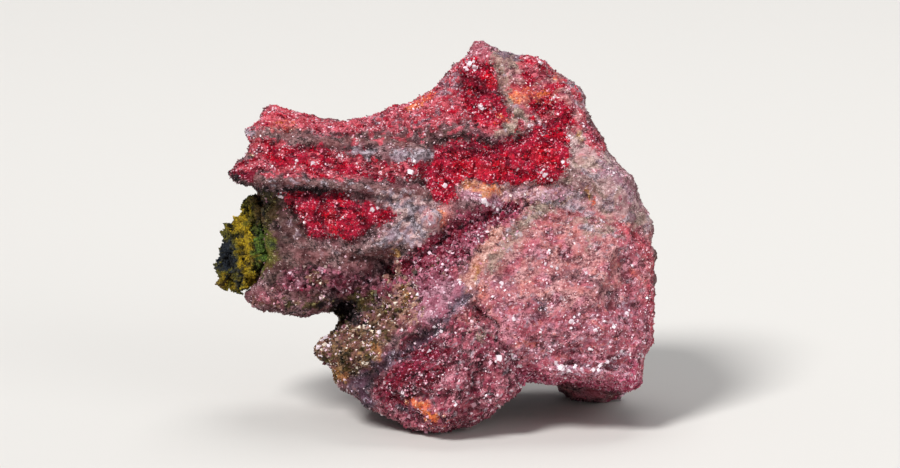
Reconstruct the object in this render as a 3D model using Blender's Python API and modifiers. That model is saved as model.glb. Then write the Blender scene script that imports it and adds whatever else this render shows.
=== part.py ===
"""A cuprite hand specimen: a layered lump of copper ore with two hollows lined with red
cuprite druse and a knobbly green and yellow crust on its left flank.

The rock is laid out from its crystal-bearing face, in millimetres: across the face to
its right, depth into the rock and up the face. The face leans back, so the finished
solids are turned by LEAN about X, lowered onto their feet and moved so that the origin
is under the middle of the bounding box.
"""

import math
import random

import bmesh
import bpy
from mathutils import Matrix, Vector, noise
from mathutils.bvhtree import BVHTree

MM = 0.001

# Driving dimensions, in millimetres and degrees.
LEAN = 12.0  # how far the face leans back from upright
FLOOR_DROP = 1.6  # lowers the turned rock until its three feet are cut off flat
MIDDLE_X, MIDDLE_Y = -1.53, 3.1  # middle of the turned rock's bounding box
JOIN_VOXEL = 0.7  # cell that melts the lobes into one rock
SKIN_VOXEL = 0.55  # cell that closes its broken skin again
ROCK_TRIANGLES = 6200
CRUST_TRIANGLES = 1100
CHIP_SINK = 0.22  # how far chipping takes the skin back on average
TOUCH_GAP = 0.45  # room kept between two minerals that lie on each other
CRUST_VOXEL = 0.5  # cell that melts the crust's knobs together
DRUSE_STEP = 1.8  # longest edge on a druse sheet's front
DRUSE_THICK = 1.0  # from the hollow's floor to the druse's front
DRUSE_ROOT = 4.0  # how far a sheet reaches back before it is cut clear of the rock
DRUSE_LEVEL = 1.2  # reach over which a sheet averages the hollow's floor
CRYSTAL_SPACING = 1.15  # between a druse's crystals, as a share of their size
CRYSTAL_JITTER = 0.3  # how far a crystal strays up or down from its row
UPPER_CRYSTAL, LEFT_CRYSTAL = 1.5, 1.3  # edge of a druse crystal in each hollow
DRUSE_SINK, PALE_SINK = 0.08, 0.1  # how deep a crystal's middle lies, as a share of its size
IN_FRONT = -60.0  # a depth well in front of the whole face
SEED = 7

# The broken skin: (width, height) of its facets, coarse to fine.
ROCK_CHIPS = [(9.0, 1.0), (3.6, 0.5), (1.7, 0.22)]
CRUST_CHIPS = [(2.4, 0.75)]
CHIP_TILT = 1.6  # steepness of a facet
CHIP_WAVE = 0.5  # share of smooth swell added to the facets
CHIP_SHIFT = Vector((17.3, 5.1, 11.7))  # keeps one size of facet from repeating another
CELL_SPREAD = 57.0  # spreads neighbouring facets apart before each draws its own tilt
FRONT_RIM_SHARE = 0.3  # how much chipping may move the outline seen from the front
FRONT_HALF = 5.0  # depth over which that limit fades out

# Each lobe: its outline in the face plane (across, up), its rings (depth, size) from
# front to back, and how much deeper it gets per millimetre up and across.
STRATA_ARM = {
    "outline": [
        (-25.5, 29.6), (-25.1, 30.8), (-23.0, 31.6), (-23.5, 32.5), (-23.5, 34.4),
        (-22.0, 35.5), (-21.4, 37.0), (-20.0, 38.0), (-19.0, 37.1), (-17.0, 36.9),
        (-15.4, 36.3), (-14.4, 35.6), (-11.5, 35.9), (-8.5, 36.3), (-6.2, 37.3),
        (-4.3, 38.4), (-2.1, 39.3), (2.3, 37.7), (3.5, 31.4), (0.0, 26.2),
        (-5.8, 26.5), (-11.5, 27.1), (-17.2, 27.7), (-21.6, 27.8), (-23.6, 28.6),
    ],
    "rings": [(-8.1, 0.9), (-7.0, 0.98), (-5.0, 1.0), (0.5, 1.0), (5.0, 0.9), (7.5, 0.7)],
    "deeper_up": 0.3,
    "deeper_across": 0.12,
}
LEFT_FACE = {
    "outline": [
        (-21.0, 32.0), (-12.0, 33.5), (1.2, 32.0), (3.5, 22.2), (-1.2, 17.6),
        (-5.8, 15.3), (-12.1, 15.2), (-13.8, 14.2), (-16.9, 13.1), (-19.0, 13.7),
        (-22.3, 13.9), (-23.8, 15.2), (-23.8, 16.4), (-21.9, 17.4), (-21.0, 19.7),
        (-20.8, 22.2), (-21.2, 25.1), (-21.6, 27.8),
    ],
    "rings": [(-8.0, 0.88), (-6.8, 0.97), (-4.4, 1.0), (1.0, 1.0), (5.0, 0.94), (8.0, 0.75)],
    "deeper_up": 0.02,
    "deeper_across": -0.12,
}
RIGHT_BLOCK = {
    "outline": [
        (-1.3, 26.0), (2.3, 30.0), (10.3, 32.0), (15.5, 34.8), (17.2, 34.3),
        (18.1, 32.5), (19.7, 30.9), (20.9, 29.9), (21.5, 28.2), (21.7, 26.6),
        (22.8, 25.2), (23.6, 23.7), (23.3, 21.6), (23.1, 18.7), (23.2, 15.3),
        (23.1, 12.4), (23.2, 10.3), (22.2, 9.2), (22.2, 6.6), (21.5, 5.3),
        (20.0, 4.8), (18.2, 5.3), (15.9, 5.6), (13.2, 5.9), (11.5, 5.4),
        (9.8, 5.9), (8.7, 6.8), (5.8, 8.4), (1.2, 9.5), (-1.7, 13.0),
        (-2.3, 16.4), (-0.6, 21.0),
    ],
    "rings": [
        (-12.2, 0.5), (-11.4, 0.78), (-9.4, 0.93), (-6.0, 1.0), (2.5, 1.0),
        (8.5, 0.9), (12.5, 0.66),
    ],
    "deeper_up": 0.05,
    "deeper_across": 0.0,
}
PEAK = {
    "outline": [
        (-5.2, 37.8), (-2.1, 39.3), (-0.5, 40.9), (1.2, 43.0), (2.5, 44.7),
        (3.5, 45.3), (4.5, 44.9), (5.8, 44.3), (6.8, 43.6), (8.2, 43.1),
        (9.3, 43.5), (10.7, 43.2), (11.8, 42.4), (12.8, 41.5), (14.1, 40.6),
        (15.3, 39.1), (15.6, 37.1), (16.3, 35.8), (17.4, 34.4), (18.2, 32.5),
        (17.2, 24.0), (10.3, 20.0), (2.5, 21.5), (-4.6, 29.2),
    ],
    "rings": [(-8.3, 0.78), (-6.9, 0.93), (-4.4, 1.0), (1.0, 1.0), (5.5, 0.9), (8.5, 0.68)],
    "deeper_up": 0.15,
    "deeper_across": 0.05,
}
LOWER_LOBE = {
    "outline": [
        (-2.3, 18.7), (3.5, 19.7), (9.5, 17.0), (11.5, 13.5), (10.6, 9.0),
        (8.6, 6.4), (8.1, 4.9),
        (7.1, 3.8), (5.8, 3.2), (4.9, 2.1), (3.2, 1.3), (1.2, 0.5),
        (-1.2, 0.0), (-3.5, 0.0), (-5.2, 0.7), (-6.3, 1.7), (-8.1, 2.4),
        (-9.7, 3.1), (-10.9, 4.4), (-12.7, 5.3), (-13.2, 6.1), (-12.9, 7.6),
        (-15.0, 8.5), (-16.1, 9.9), (-14.7, 11.2), (-12.6, 12.2), (-10.9, 13.6),
        (-7.5, 16.4),
    ],
    "rings": [
        (-13.2, 0.55), (-12.0, 0.78), (-9.8, 0.94), (-7.0, 1.0), (-3.0, 0.98),
        (1.5, 0.84), (5.0, 0.6),
    ],
    "deeper_up": -0.04,
    "deeper_across": -0.12,
}
BACK_MASS = {
    "outline": [
        (-20.1, 27.9), (-18.4, 34.3), (-11.5, 34.8), (-2.3, 37.7), (3.5, 42.9),
        (12.7, 40.0), (16.1, 34.8), (20.7, 27.9), (22.4, 19.9), (21.9, 7.2),
        (17.2, 5.5), (5.8, 5.5), (-5.8, 7.2), (-11.3, 11.3), (-13.0, 11.8),
        (-13.6, 13.2), (-13.8, 15.0), (-18.4, 15.3), (-19.6, 21.0),
    ],
    "rings": [(-3.0, 0.97), (3.0, 0.98), (8.5, 0.9), (12.5, 0.74), (15.5, 0.45)],
    "deeper_up": -0.1,
    "deeper_across": 0.03,
}
RIGHT_FOOT = {
    "outline": [
        (12.4, 10.0), (20.0, 9.8), (19.3, 4.8), (17.6, 3.2), (14.8, 3.0), (13.2, 4.4),
    ],
    "rings": [(4.5, 0.75), (7.5, 0.98), (12.0, 1.0), (14.8, 0.8)],
    "deeper_up": 0.0,
    "deeper_across": 0.0,
}
LEFT_FOOT = {
    "outline": [
        (-11.0, 11.5), (-1.5, 11.0), (-2.4, 4.0), (-4.6, 2.6), (-8.0, 2.8), (-9.8, 5.0),
    ],
    "rings": [(5.0, 0.7), (7.5, 0.98), (11.5, 1.0), (13.8, 0.78)],
    "deeper_up": 0.0,
    "deeper_across": 0.0,
}
LOBES = [
    STRATA_ARM, LEFT_FACE, RIGHT_BLOCK, PEAK, LOWER_LOBE, BACK_MASS, RIGHT_FOOT, LEFT_FOOT,
]

# Fractures that split off corners: (across, depth, up) of a point, the normal, the reach.
FRACTURES = [
    ((2.0, 12.6, 18.0), (-0.10, 1.0, 0.08), 60.0),
    ((-9.0, 9.5, 30.0), (-0.42, 0.8, 0.42), 14.0),
    ((-13.5, 7.0, 17.0), (-0.62, 0.72, -0.3), 12.0),
    ((21.0, 7.5, 20.0), (0.86, 0.5, 0.06), 18.0),
    ((13.5, 8.5, 35.5), (0.42, 0.68, 0.6), 12.0),
    ((2.0, 7.5, 39.5), (-0.25, 0.62, 0.74), 11.0),
    ((16.5, 14.0, 4.5), (0.35, 0.75, -0.5), 12.0),
    ((21.0, -8.6, 14.0), (0.66, -0.75, 0.05), 18.0),
    ((-15.0, 5.0, 36.0), (-0.1, 0.5, 0.86), 7.0),
    ((-22.5, 4.0, 33.0), (-0.85, 0.5, 0.2), 7.0),
    ((-7.0, -10.4, 4.5), (-0.42, -0.74, -0.52), 8.0),
    ((11.0, -10.8, 21.5), (0.1, -0.88, 0.46), 9.0),
]

# Relief of the face: (path, half width, height), a negative height cuts in.
RIDGES_AND_GROOVES = [
    # the dark valley between the left face and the right block
    ([(7.8, 26.0), (2.3, 24.3), (-2.3, 21.6), (-6.3, 19.3), (-10.3, 16.4), (-13.0, 14.4)],
     1.9, -3.2),
    # the block's shoulder beside that valley
    ([(7.0, 24.6), (4.0, 20.3), (2.8, 16.0)], 1.6, 0.9),
    # the slate-coloured furrow across the lower lobe
    ([(-9.2, 7.0), (-7.0, 8.1), (-2.3, 11.3), (2.3, 13.6)], 1.1, -0.9),
    # the seam between the lower lobe and the block
    ([(3.4, 13.4), (4.8, 11.6), (5.6, 9.8), (7.0, 7.8), (8.4, 5.8)], 0.8, -1.0),
    # the cleft and the lip along the block's foot
    ([(12.0, 9.5), (17.2, 8.5), (21.3, 8.3)], 0.7, -1.0),
    ([(10.5, 6.7), (16.5, 6.4), (20.8, 6.0)], 1.2, 1.3),
    # the thin bed along the arm
    ([(-23.2, 34.3), (-17.2, 33.5), (-11.5, 33.0), (-5.8, 32.4), (-2.6, 31.6)], 0.9, 0.9),
    # the overhanging bed under it, which runs on across the face
    ([(-24.8, 29.3), (-17.2, 28.3), (-11.5, 27.7), (-5.8, 27.2), (-1.0, 26.6)], 1.1, 0.7),
    # the swell of the lower lobe's tip
    ([(-12.0, 9.6), (-8.6, 8.2)], 1.7, 1.2),
    # the crease above the notch
    ([(-11.5, 19.7), (-8.1, 19.9), (-6.7, 18.2)], 0.8, -1.0),
    # the lip under the upper hollow
    ([(0.6, 28.0), (5.0, 27.6), (10.0, 27.6), (14.2, 28.2)], 1.0, 1.0),
    # the rim that hangs over the upper hollow on its left
    ([(0.8, 34.4), (3.5, 34.4), (6.0, 33.8), (8.0, 35.0)], 0.9, 0.6),
    # the faint ledges across the block
    ([(8.0, 21.6), (15.0, 22.2), (21.5, 20.8)], 0.9, 0.5),
    ([(4.5, 17.2), (12.0, 16.4), (21.5, 17.4)], 0.9, 0.5),
    ([(8.0, 12.8), (14.5, 11.8), (21.5, 12.8)], 0.9, 0.5),
    # the grey rib between the two halves of the peak
    ([(5.6, 43.6), (6.8, 40.5), (7.6, 37.6), (6.8, 35.4)], 1.1, 0.7),
]

# Hollows of the face: outline, depth and the width of the slope round it.
UPPER_HOLLOW = [
    (-2.6, 32.6), (0.4, 33.8), (3.2, 33.6), (5.8, 32.8), (9.2, 34.4), (12.9, 36.2),
    (14.4, 33.9), (14.2, 29.2), (9.2, 28.0), (2.9, 28.4), (0.4, 27.6), (-1.9, 26.0),
    (-3.2, 29.1),
]
LEFT_HOLLOW = [
    (-18.6, 27.2), (-12.7, 27.2), (-6.2, 25.4), (-9.4, 22.8), (-11.7, 21.4), (-16.3, 22.6),
]
PEAK_HOLLOW = [(1.2, 42.7), (4.6, 42.7), (5.6, 39.4), (6.1, 36.0), (2.3, 35.4), (0.2, 38.3)]
HOLLOWS = [(UPPER_HOLLOW, 2.0, 2.4), (LEFT_HOLLOW, 1.5, 2.0), (PEAK_HOLLOW, 1.0, 2.8)]

# The druse sheets that lie in the two larger hollows.
UPPER_DRUSE = [
    (-1.7, 31.8), (0.5, 32.9), (3.3, 32.6), (5.8, 31.8), (9.4, 33.4), (12.3, 34.9),
    (13.4, 33.4), (13.2, 30.2), (9.2, 29.0), (2.9, 29.4), (0.0, 28.8), (-1.3, 27.2),
    (-2.2, 29.2),
]
LEFT_DRUSE = [
    (-17.5, 26.4), (-12.7, 26.3), (-7.6, 25.0), (-9.9, 23.5), (-11.8, 22.4), (-15.6, 23.4),
]

# Larger pale crystals that stand out of the rock: (across, up, size).
PALE_CRYSTALS = [
    (-4.3, 29.8, 1.5), (3.9, 37.3, 1.4), (2.3, 42.0, 1.3),
    (5.6, 8.8, 1.3), (-3.6, 11.9, 1.1), (14.2, 12.7, 1.2), (17.1, 8.0, 1.3),
    (12.6, 7.8, 1.2), (-11.6, 34.6, 1.1), (10.4, 42.0, 1.5),
]

# The crust on the left flank: (across, depth, up, radius) of its knobs.
CRUST_KNOBS = [
    (-21.9, -0.5, 25.6, 2.2), (-22.9, -1.0, 22.4, 2.9), (-24.3, 0.6, 19.6, 2.8),
    (-24.0, -1.2, 18.2, 2.4), (-21.9, -2.8, 20.8, 2.7), (-21.3, -2.6, 24.0, 2.4),
    (-23.6, 3.2, 22.0, 2.8), (-23.4, 4.6, 18.8, 2.6), (-21.6, 3.4, 25.2, 2.3),
    (-22.6, -2.4, 17.8, 1.9),
]


def cleared_scene():
    """Empties the file and returns the specimen's collection and the helpers' one."""
    for old in list(bpy.data.objects):
        bpy.data.objects.remove(old)
    found = []
    for name in ("cuprite_specimen", "helpers"):
        collection = bpy.data.collections.new(name)
        bpy.context.scene.collection.children.link(collection)
        found.append(collection)
    return found


def face_point(across, depth, up):
    return Vector((across, depth, up)) * MM


def object_from(mesh, name, collection):
    """A new object holding what the bmesh holds."""
    data = bpy.data.meshes.new(name)
    mesh.to_mesh(data)
    mesh.free()
    made = bpy.data.objects.new(name, data)
    collection.objects.link(made)
    return made


def apply_modifier(thing, kind, **settings):
    """Adds one modifier, sets it and makes its result the object's own mesh."""
    modifier = thing.modifiers.new(kind.title(), kind)
    for name, value in settings.items():
        setattr(modifier, name, value)
    graph = bpy.context.evaluated_depsgraph_get()
    mesh = bpy.data.meshes.new_from_object(thing.evaluated_get(graph))
    thing.modifiers.clear()
    thing.data = mesh


def reduce_to(thing, triangles):
    """Decimates to about that many triangles."""
    thing.data.calc_loop_triangles()
    share = min(1.0, triangles / len(thing.data.loop_triangles))
    apply_modifier(thing, "DECIMATE", ratio=share, use_collapse_triangulate=True)


def add_lobe(mesh, lobe):
    """Adds one closed lump: its outline is extruded from ring to ring, front to back."""
    outline = [Vector(point) for point in lobe["outline"]]
    middle = sum(outline, Vector((0.0, 0.0))) / len(outline)

    def ring_place(point, depth, size):
        at = middle + (point - middle) * size
        lean = lobe["deeper_up"] * (at.y - middle.y) + lobe["deeper_across"] * (at.x - middle.x)
        return face_point(at.x, depth + lean, at.y)

    rings = lobe["rings"]
    corners = [mesh.verts.new(ring_place(point, *rings[0])) for point in outline]
    front = mesh.faces.new(corners)
    layer = front
    for depth, size in rings[1:]:
        out = bmesh.ops.extrude_face_region(mesh, geom=[layer], use_keep_orig=layer is front)
        layer = next(part for part in out["geom"] if isinstance(part, bmesh.types.BMFace))
        for corner, point in zip(layer.verts, outline):
            corner.co = ring_place(point, depth, size)


def path_distance(at, path):
    """Distance from a point of the face plane to a path of straight stretches."""
    best = math.inf
    for start, end in zip(path, path[1:]):
        along = end - start
        share = max(0.0, min(1.0, (at - start).dot(along) / along.length_squared))
        best = min(best, (at - start - along * share).length)
    return best


def is_inside(at, outline):
    """True if a point of the face plane is inside the closed outline."""
    inside = False
    for start, end in zip(outline, outline[1:] + outline[:1]):
        if (start.y > at.y) != (end.y > at.y):
            crossing = start.x + (at.y - start.y) * (end.x - start.x) / (end.y - start.y)
            inside ^= at.x < crossing
    return inside


def smooth_step(value):
    share = max(0.0, min(1.0, value))
    return share * share * (3 - 2 * share)


def relief_at(at, lines, hollows):
    """How far the face stands out at a point, in millimetres; negative is cut in."""
    height = 0.0
    for path, half_width, amount in lines:
        height += amount * math.exp(-((path_distance(at, path) / half_width) ** 2))
    for outline, depth, slope in hollows:
        edge = path_distance(at, outline + outline[:1])
        signed = edge if is_inside(at, outline) else -edge
        height -= depth * smooth_step(signed / slope + 0.35)
    return height


def carve_face(rock):
    """Moves the skin of the face in or out, along the depth axis, by the relief."""
    lines = [([Vector(p) for p in path], width, high) for path, width, high in RIDGES_AND_GROOVES]
    hollows = [([Vector(p) for p in outline], deep, soft) for outline, deep, soft in HOLLOWS]
    normals = [vertex.normal.copy() for vertex in rock.data.vertices]
    for vertex, normal in zip(rock.data.vertices, normals):
        facing = smooth_step((-normal.y - 0.1) / 0.45)
        if facing > 0:
            at = Vector((vertex.co.x, vertex.co.z)) / MM
            vertex.co.y -= MM * facing * relief_at(at, lines, hollows)


def split_off(rock):
    """Flattens every corner that stands out past a fracture onto that fracture's plane."""
    for point, direction, reach in FRACTURES:
        point, direction = Vector(point) * MM, Vector(direction).normalized()
        for vertex in rock.data.vertices:
            away = vertex.co - point
            beyond = away.dot(direction)
            if beyond > 0 and away.length < reach * MM:
                vertex.co -= direction * beyond


def roughen(thing, chips, rim_share=1.0):
    """Breaks the skin into tilted facets.

    In the front half, rim_share is how much of it moves the skin sideways and up.
    """
    moved = []
    for vertex in thing.data.vertices:
        height = 0.0
        for number, (width, amount) in enumerate(chips):
            place = vertex.co / (width * MM) + CHIP_SHIFT * number
            middle = noise.voronoi(place)[1][0]
            tilt = noise.cell_vector(middle * CELL_SPREAD)
            facet = tilt.dot(place - middle) * CHIP_TILT
            height += amount * (facet + CHIP_WAVE * noise.noise(place))
        height -= CHIP_SINK
        back = smooth_step(vertex.co.y / (FRONT_HALF * MM) + 0.3)
        share = rim_share + (1 - rim_share) * back
        push = Vector((vertex.normal.x * share, vertex.normal.y, vertex.normal.z * share))
        moved.append(vertex.co + push * height * MM)
    for vertex, co in zip(thing.data.vertices, moved):
        vertex.co = co


def rock_body(collection):
    """The lobes melted into one rock, with its relief and its broken skin."""
    mesh = bmesh.new()
    for lobe in LOBES:
        add_lobe(mesh, lobe)
    bmesh.ops.recalc_face_normals(mesh, faces=mesh.faces)
    rock = object_from(mesh, "matrix_rock", collection)
    apply_modifier(rock, "REMESH", mode="VOXEL", voxel_size=JOIN_VOXEL * MM)
    apply_modifier(rock, "SMOOTH", factor=0.5, iterations=3)
    split_off(rock)
    carve_face(rock)
    roughen(rock, ROCK_CHIPS, rim_share=FRONT_RIM_SHARE)
    apply_modifier(rock, "REMESH", mode="VOXEL", voxel_size=SKIN_VOXEL * MM)
    reduce_to(rock, ROCK_TRIANGLES)
    return rock


def face_depth_finder(rock):
    """A function that gives the depth of the rock's front skin at a point of the face."""
    mesh = bmesh.new()
    mesh.from_mesh(rock.data)
    tree = BVHTree.FromBMesh(mesh)
    mesh.free()
    towards_back = Vector((0.0, 1.0, 0.0))

    def depth_at(across, up):
        hit = tree.ray_cast(face_point(across, IN_FRONT, up), towards_back)[0]
        return math.inf if hit is None else hit.y / MM

    return depth_at


def loose_crystals(places, depth_at, sink, picker, helpers):
    """A collection of turned cubes, each sunk into the skin, for a Boolean to join."""
    group = bpy.data.collections.new("crystals")
    helpers.children.link(group)
    for across, up, size in places:
        mesh = bmesh.new()
        bmesh.ops.create_cube(mesh, size=size * MM)
        turn = Matrix.Rotation(picker.uniform(0.3, 1.2), 4, "X") @ Matrix.Rotation(
            picker.uniform(0.0, math.tau), 4, "Z"
        )
        place = Matrix.Translation(face_point(across, depth_at(across, up) + sink * size, up))
        bmesh.ops.transform(mesh, matrix=place @ turn, verts=mesh.verts)
        crystal = object_from(mesh, "crystal", group)
        crystal.hide_render = True
        crystal.display_type = "WIRE"
    return group


def fuse_crystals(thing, group):
    """Joins the loose crystals to a piece and removes them."""
    apply_modifier(
        thing, "BOOLEAN", operation="UNION", operand_type="COLLECTION", collection=group,
        solver="EXACT",
    )
    for crystal in list(group.objects):
        bpy.data.objects.remove(crystal)


def grown_copy(rock, helpers):
    """The rock grown by the gap that other minerals keep to it."""
    grown = object_from(bmesh_of(rock), "grown_rock", helpers)
    grown.hide_render = True
    grown.display_type = "WIRE"
    apply_modifier(grown, "DISPLACE", strength=TOUCH_GAP * MM, mid_level=0.0)
    apply_modifier(grown, "REMESH", mode="VOXEL", voxel_size=SKIN_VOXEL * MM)
    reduce_to(grown, ROCK_TRIANGLES)
    return grown


def cut_clear(thing, grown):
    """Cuts a mineral back to the gap that it keeps to the rock."""
    apply_modifier(thing, "BOOLEAN", operation="DIFFERENCE", object=grown, solver="EXACT")
    keep_largest_piece(thing)


def druse_slab(name, outline, front_depth, collection):
    """A slab with the outline of a hollow, from its front back into the rock."""
    mesh = bmesh.new()
    mesh.faces.new([mesh.verts.new(face_point(across, 0.0, up)) for across, up in outline])
    long_edges = mesh.edges[:]
    while long_edges:
        bmesh.ops.triangulate(mesh, faces=mesh.faces)
        bmesh.ops.beautify_fill(mesh, faces=mesh.faces, edges=mesh.edges)
        long_edges = [edge for edge in mesh.edges if edge.calc_length() > DRUSE_STEP * MM]
        bmesh.ops.subdivide_edges(mesh, edges=long_edges, cuts=1)
    bmesh.ops.triangulate(mesh, faces=mesh.faces)
    for vertex in mesh.verts:
        vertex.co.y = front_depth(vertex.co.x / MM, vertex.co.z / MM) * MM
    bmesh.ops.recalc_face_normals(mesh, faces=mesh.faces)
    if sum(face.normal.y for face in mesh.faces) > 0:
        bmesh.ops.reverse_faces(mesh, faces=mesh.faces)
    slab = object_from(mesh, name, collection)
    apply_modifier(slab, "SOLIDIFY", thickness=DRUSE_ROOT * MM, offset=-1.0)
    return slab


def druse(name, outline, crystal_size, depth_at, grown, picker, collections):
    """A sheet of grown-together crystals that lines one hollow, clear of the rock's skin."""
    corners = [Vector(point) for point in outline]
    steps = (-DRUSE_LEVEL, 0.0, DRUSE_LEVEL)
    around = [(dx, dz) for dx in steps for dz in steps]

    def front_depth(across, up):
        found = [depth_at(across + dx, up + dz) for dx, dz in around]
        return sum(found) / len(found) - DRUSE_THICK

    sheet = druse_slab(name, outline, front_depth, collections[0])
    spacing = crystal_size * CRYSTAL_SPACING
    places = []
    up = min(point[1] for point in outline)
    while up < max(point[1] for point in outline):
        across = min(point[0] for point in outline) + picker.uniform(0.0, spacing)
        while across < max(point[0] for point in outline):
            at = Vector((across, up + picker.uniform(-CRYSTAL_JITTER, CRYSTAL_JITTER)))
            inset = path_distance(at, corners + corners[:1])
            if is_inside(at, corners) and inset > crystal_size * 0.45:
                places.append((at.x, at.y, crystal_size * picker.uniform(0.8, 1.3)))
            across += spacing * picker.uniform(0.85, 1.25)
        up += spacing
    group = loose_crystals(places, front_depth, DRUSE_SINK, picker, collections[1])
    fuse_crystals(sheet, group)
    cut_clear(sheet, grown)
    return sheet


def green_crust(grown, collections):
    """Knobs melted together against the left flank, cut clear of the rock."""
    mesh = bmesh.new()
    for across, depth, up, radius in CRUST_KNOBS:
        bmesh.ops.create_icosphere(
            mesh, subdivisions=3, radius=radius * MM,
            matrix=Matrix.Translation(face_point(across, depth, up)),
        )
    crust = object_from(mesh, "green_crust", collections[0])
    apply_modifier(crust, "REMESH", mode="VOXEL", voxel_size=CRUST_VOXEL * MM)
    roughen(crust, CRUST_CHIPS)
    reduce_to(crust, CRUST_TRIANGLES)
    cut_clear(crust, grown)
    return crust


def bmesh_of(thing):
    mesh = bmesh.new()
    mesh.from_mesh(thing.data)
    return mesh


def keep_largest_piece(thing):
    """Drops the crumbs that a cut leaves, so that one closed body remains."""
    mesh = bmesh_of(thing)
    left, pieces = set(mesh.verts), []
    while left:
        piece, todo = set(), [left.pop()]
        while todo:
            vertex = todo.pop()
            piece.add(vertex)
            for edge in vertex.link_edges:
                other = edge.other_vert(vertex)
                if other in left:
                    left.discard(other)
                    todo.append(other)
        pieces.append(piece)
    pieces.sort(key=len)
    crumbs = [vertex for piece in pieces[:-1] for vertex in piece]
    bmesh.ops.delete(mesh, geom=crumbs, context="VERTS")
    mesh.to_mesh(thing.data)
    mesh.free()


def stand_up(thing):
    """Turns a piece from the face plane to upright and puts it over the origin."""
    turn = Matrix.Rotation(math.radians(-LEAN), 4, "X")
    place = Matrix.Translation(Vector((-MIDDLE_X, -MIDDLE_Y, -FLOOR_DROP)) * MM)
    thing.data.transform(place @ turn)


def cut_feet(rock):
    """Cuts the rock off at the floor, which gives each foot a flat face to stand on."""
    mesh = bmesh_of(rock)
    everything = mesh.verts[:] + mesh.edges[:] + mesh.faces[:]
    bmesh.ops.bisect_plane(
        mesh, geom=everything, plane_co=(0, 0, 0), plane_no=(0, 0, 1), clear_inner=True
    )
    open_edges = [edge for edge in mesh.edges if edge.is_boundary]
    bmesh.ops.holes_fill(mesh, edges=open_edges)
    bmesh.ops.triangulate(mesh, faces=mesh.faces)
    bmesh.ops.recalc_face_normals(mesh, faces=mesh.faces)
    mesh.to_mesh(rock.data)
    mesh.free()


def finish(thing, colour, roughness):
    """Gives a mineral its own surface."""
    material = bpy.data.materials.new(thing.name)
    material.use_nodes = True
    surface = material.node_tree.nodes["Principled BSDF"]
    surface.inputs["Base Color"].default_value = (*colour, 1.0)
    surface.inputs["Roughness"].default_value = roughness
    surface.inputs["Metallic"].default_value = 0.0
    thing.data.materials.clear()
    thing.data.materials.append(material)


def main():
    collections = cleared_scene()
    picker = random.Random(SEED)
    rock = rock_body(collections[0])
    grown = grown_copy(rock, collections[1])
    crust = green_crust(grown, collections)
    depth_at = face_depth_finder(rock)
    upper = druse(
        "upper_red_druse", UPPER_DRUSE, UPPER_CRYSTAL, depth_at, grown, picker, collections
    )
    left = druse(
        "left_red_druse", LEFT_DRUSE, LEFT_CRYSTAL, depth_at, grown, picker, collections
    )
    bpy.data.objects.remove(grown)
    pale = loose_crystals(PALE_CRYSTALS, depth_at, PALE_SINK, picker, collections[1])
    fuse_crystals(rock, pale)
    for piece in (rock, crust, upper, left):
        stand_up(piece)
    cut_feet(rock)
    finish(rock, (0.46, 0.22, 0.24), 0.8)
    finish(crust, (0.35, 0.33, 0.05), 0.85)
    finish(upper, (0.45, 0.01, 0.03), 0.35)
    finish(left, (0.45, 0.01, 0.03), 0.35)


main()
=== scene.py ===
import math

import bpy
import numpy as np
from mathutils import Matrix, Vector, noise
from mathutils.bvhtree import BVHTree

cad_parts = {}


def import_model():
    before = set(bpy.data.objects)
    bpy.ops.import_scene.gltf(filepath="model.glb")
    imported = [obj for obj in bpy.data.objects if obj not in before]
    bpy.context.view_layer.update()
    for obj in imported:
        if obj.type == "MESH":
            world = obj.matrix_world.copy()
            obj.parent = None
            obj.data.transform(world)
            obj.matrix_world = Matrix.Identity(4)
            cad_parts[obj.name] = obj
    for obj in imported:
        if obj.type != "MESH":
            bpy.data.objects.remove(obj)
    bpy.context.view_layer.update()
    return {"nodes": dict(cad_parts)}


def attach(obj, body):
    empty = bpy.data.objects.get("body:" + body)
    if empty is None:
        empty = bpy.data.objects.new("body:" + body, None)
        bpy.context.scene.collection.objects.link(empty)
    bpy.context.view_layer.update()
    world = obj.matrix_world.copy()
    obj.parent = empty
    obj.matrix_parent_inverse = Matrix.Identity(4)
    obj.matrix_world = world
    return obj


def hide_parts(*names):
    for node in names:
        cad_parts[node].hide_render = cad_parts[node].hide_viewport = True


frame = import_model()
print("frame loaded:", ", ".join(sorted(frame["nodes"])))

mm = 0.001
dice = np.random.default_rng(11)

# How the crystal-bearing face stands, as in the frame: it leans back, and the rock is
# moved over the origin. Places on the face are (across, up) in mm, depth goes into the rock.
stance = {"lean": 12.0, "drop": 1.6, "middleX": -1.53, "middleY": 3.1}
leanSin = math.sin(math.radians(stance["lean"]))
leanCos = math.cos(math.radians(stance["lean"]))


def toFace(places):
    x, y, z = (np.asarray(places) / mm).T
    y, z = y + stance["middleY"], z + stance["drop"]
    return np.column_stack(
        [x + stance["middleX"], y * leanCos - z * leanSin, y * leanSin + z * leanCos]
    )


def fromFace(across, depth, up):
    x = across - stance["middleX"]
    y = depth * leanCos + up * leanSin - stance["middleY"]
    z = up * leanCos - depth * leanSin - stance["drop"]
    return Vector((x, y, z)) * mm


def colour(red, green, blue):
    # a colour as seen on a screen, 0 to 255, made linear
    def linear(value):
        share = value / 255
        return share / 12.92 if share <= 0.04045 else ((share + 0.055) / 1.055) ** 2.4
    return (linear(red), linear(green), linear(blue), 1.0)


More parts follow.
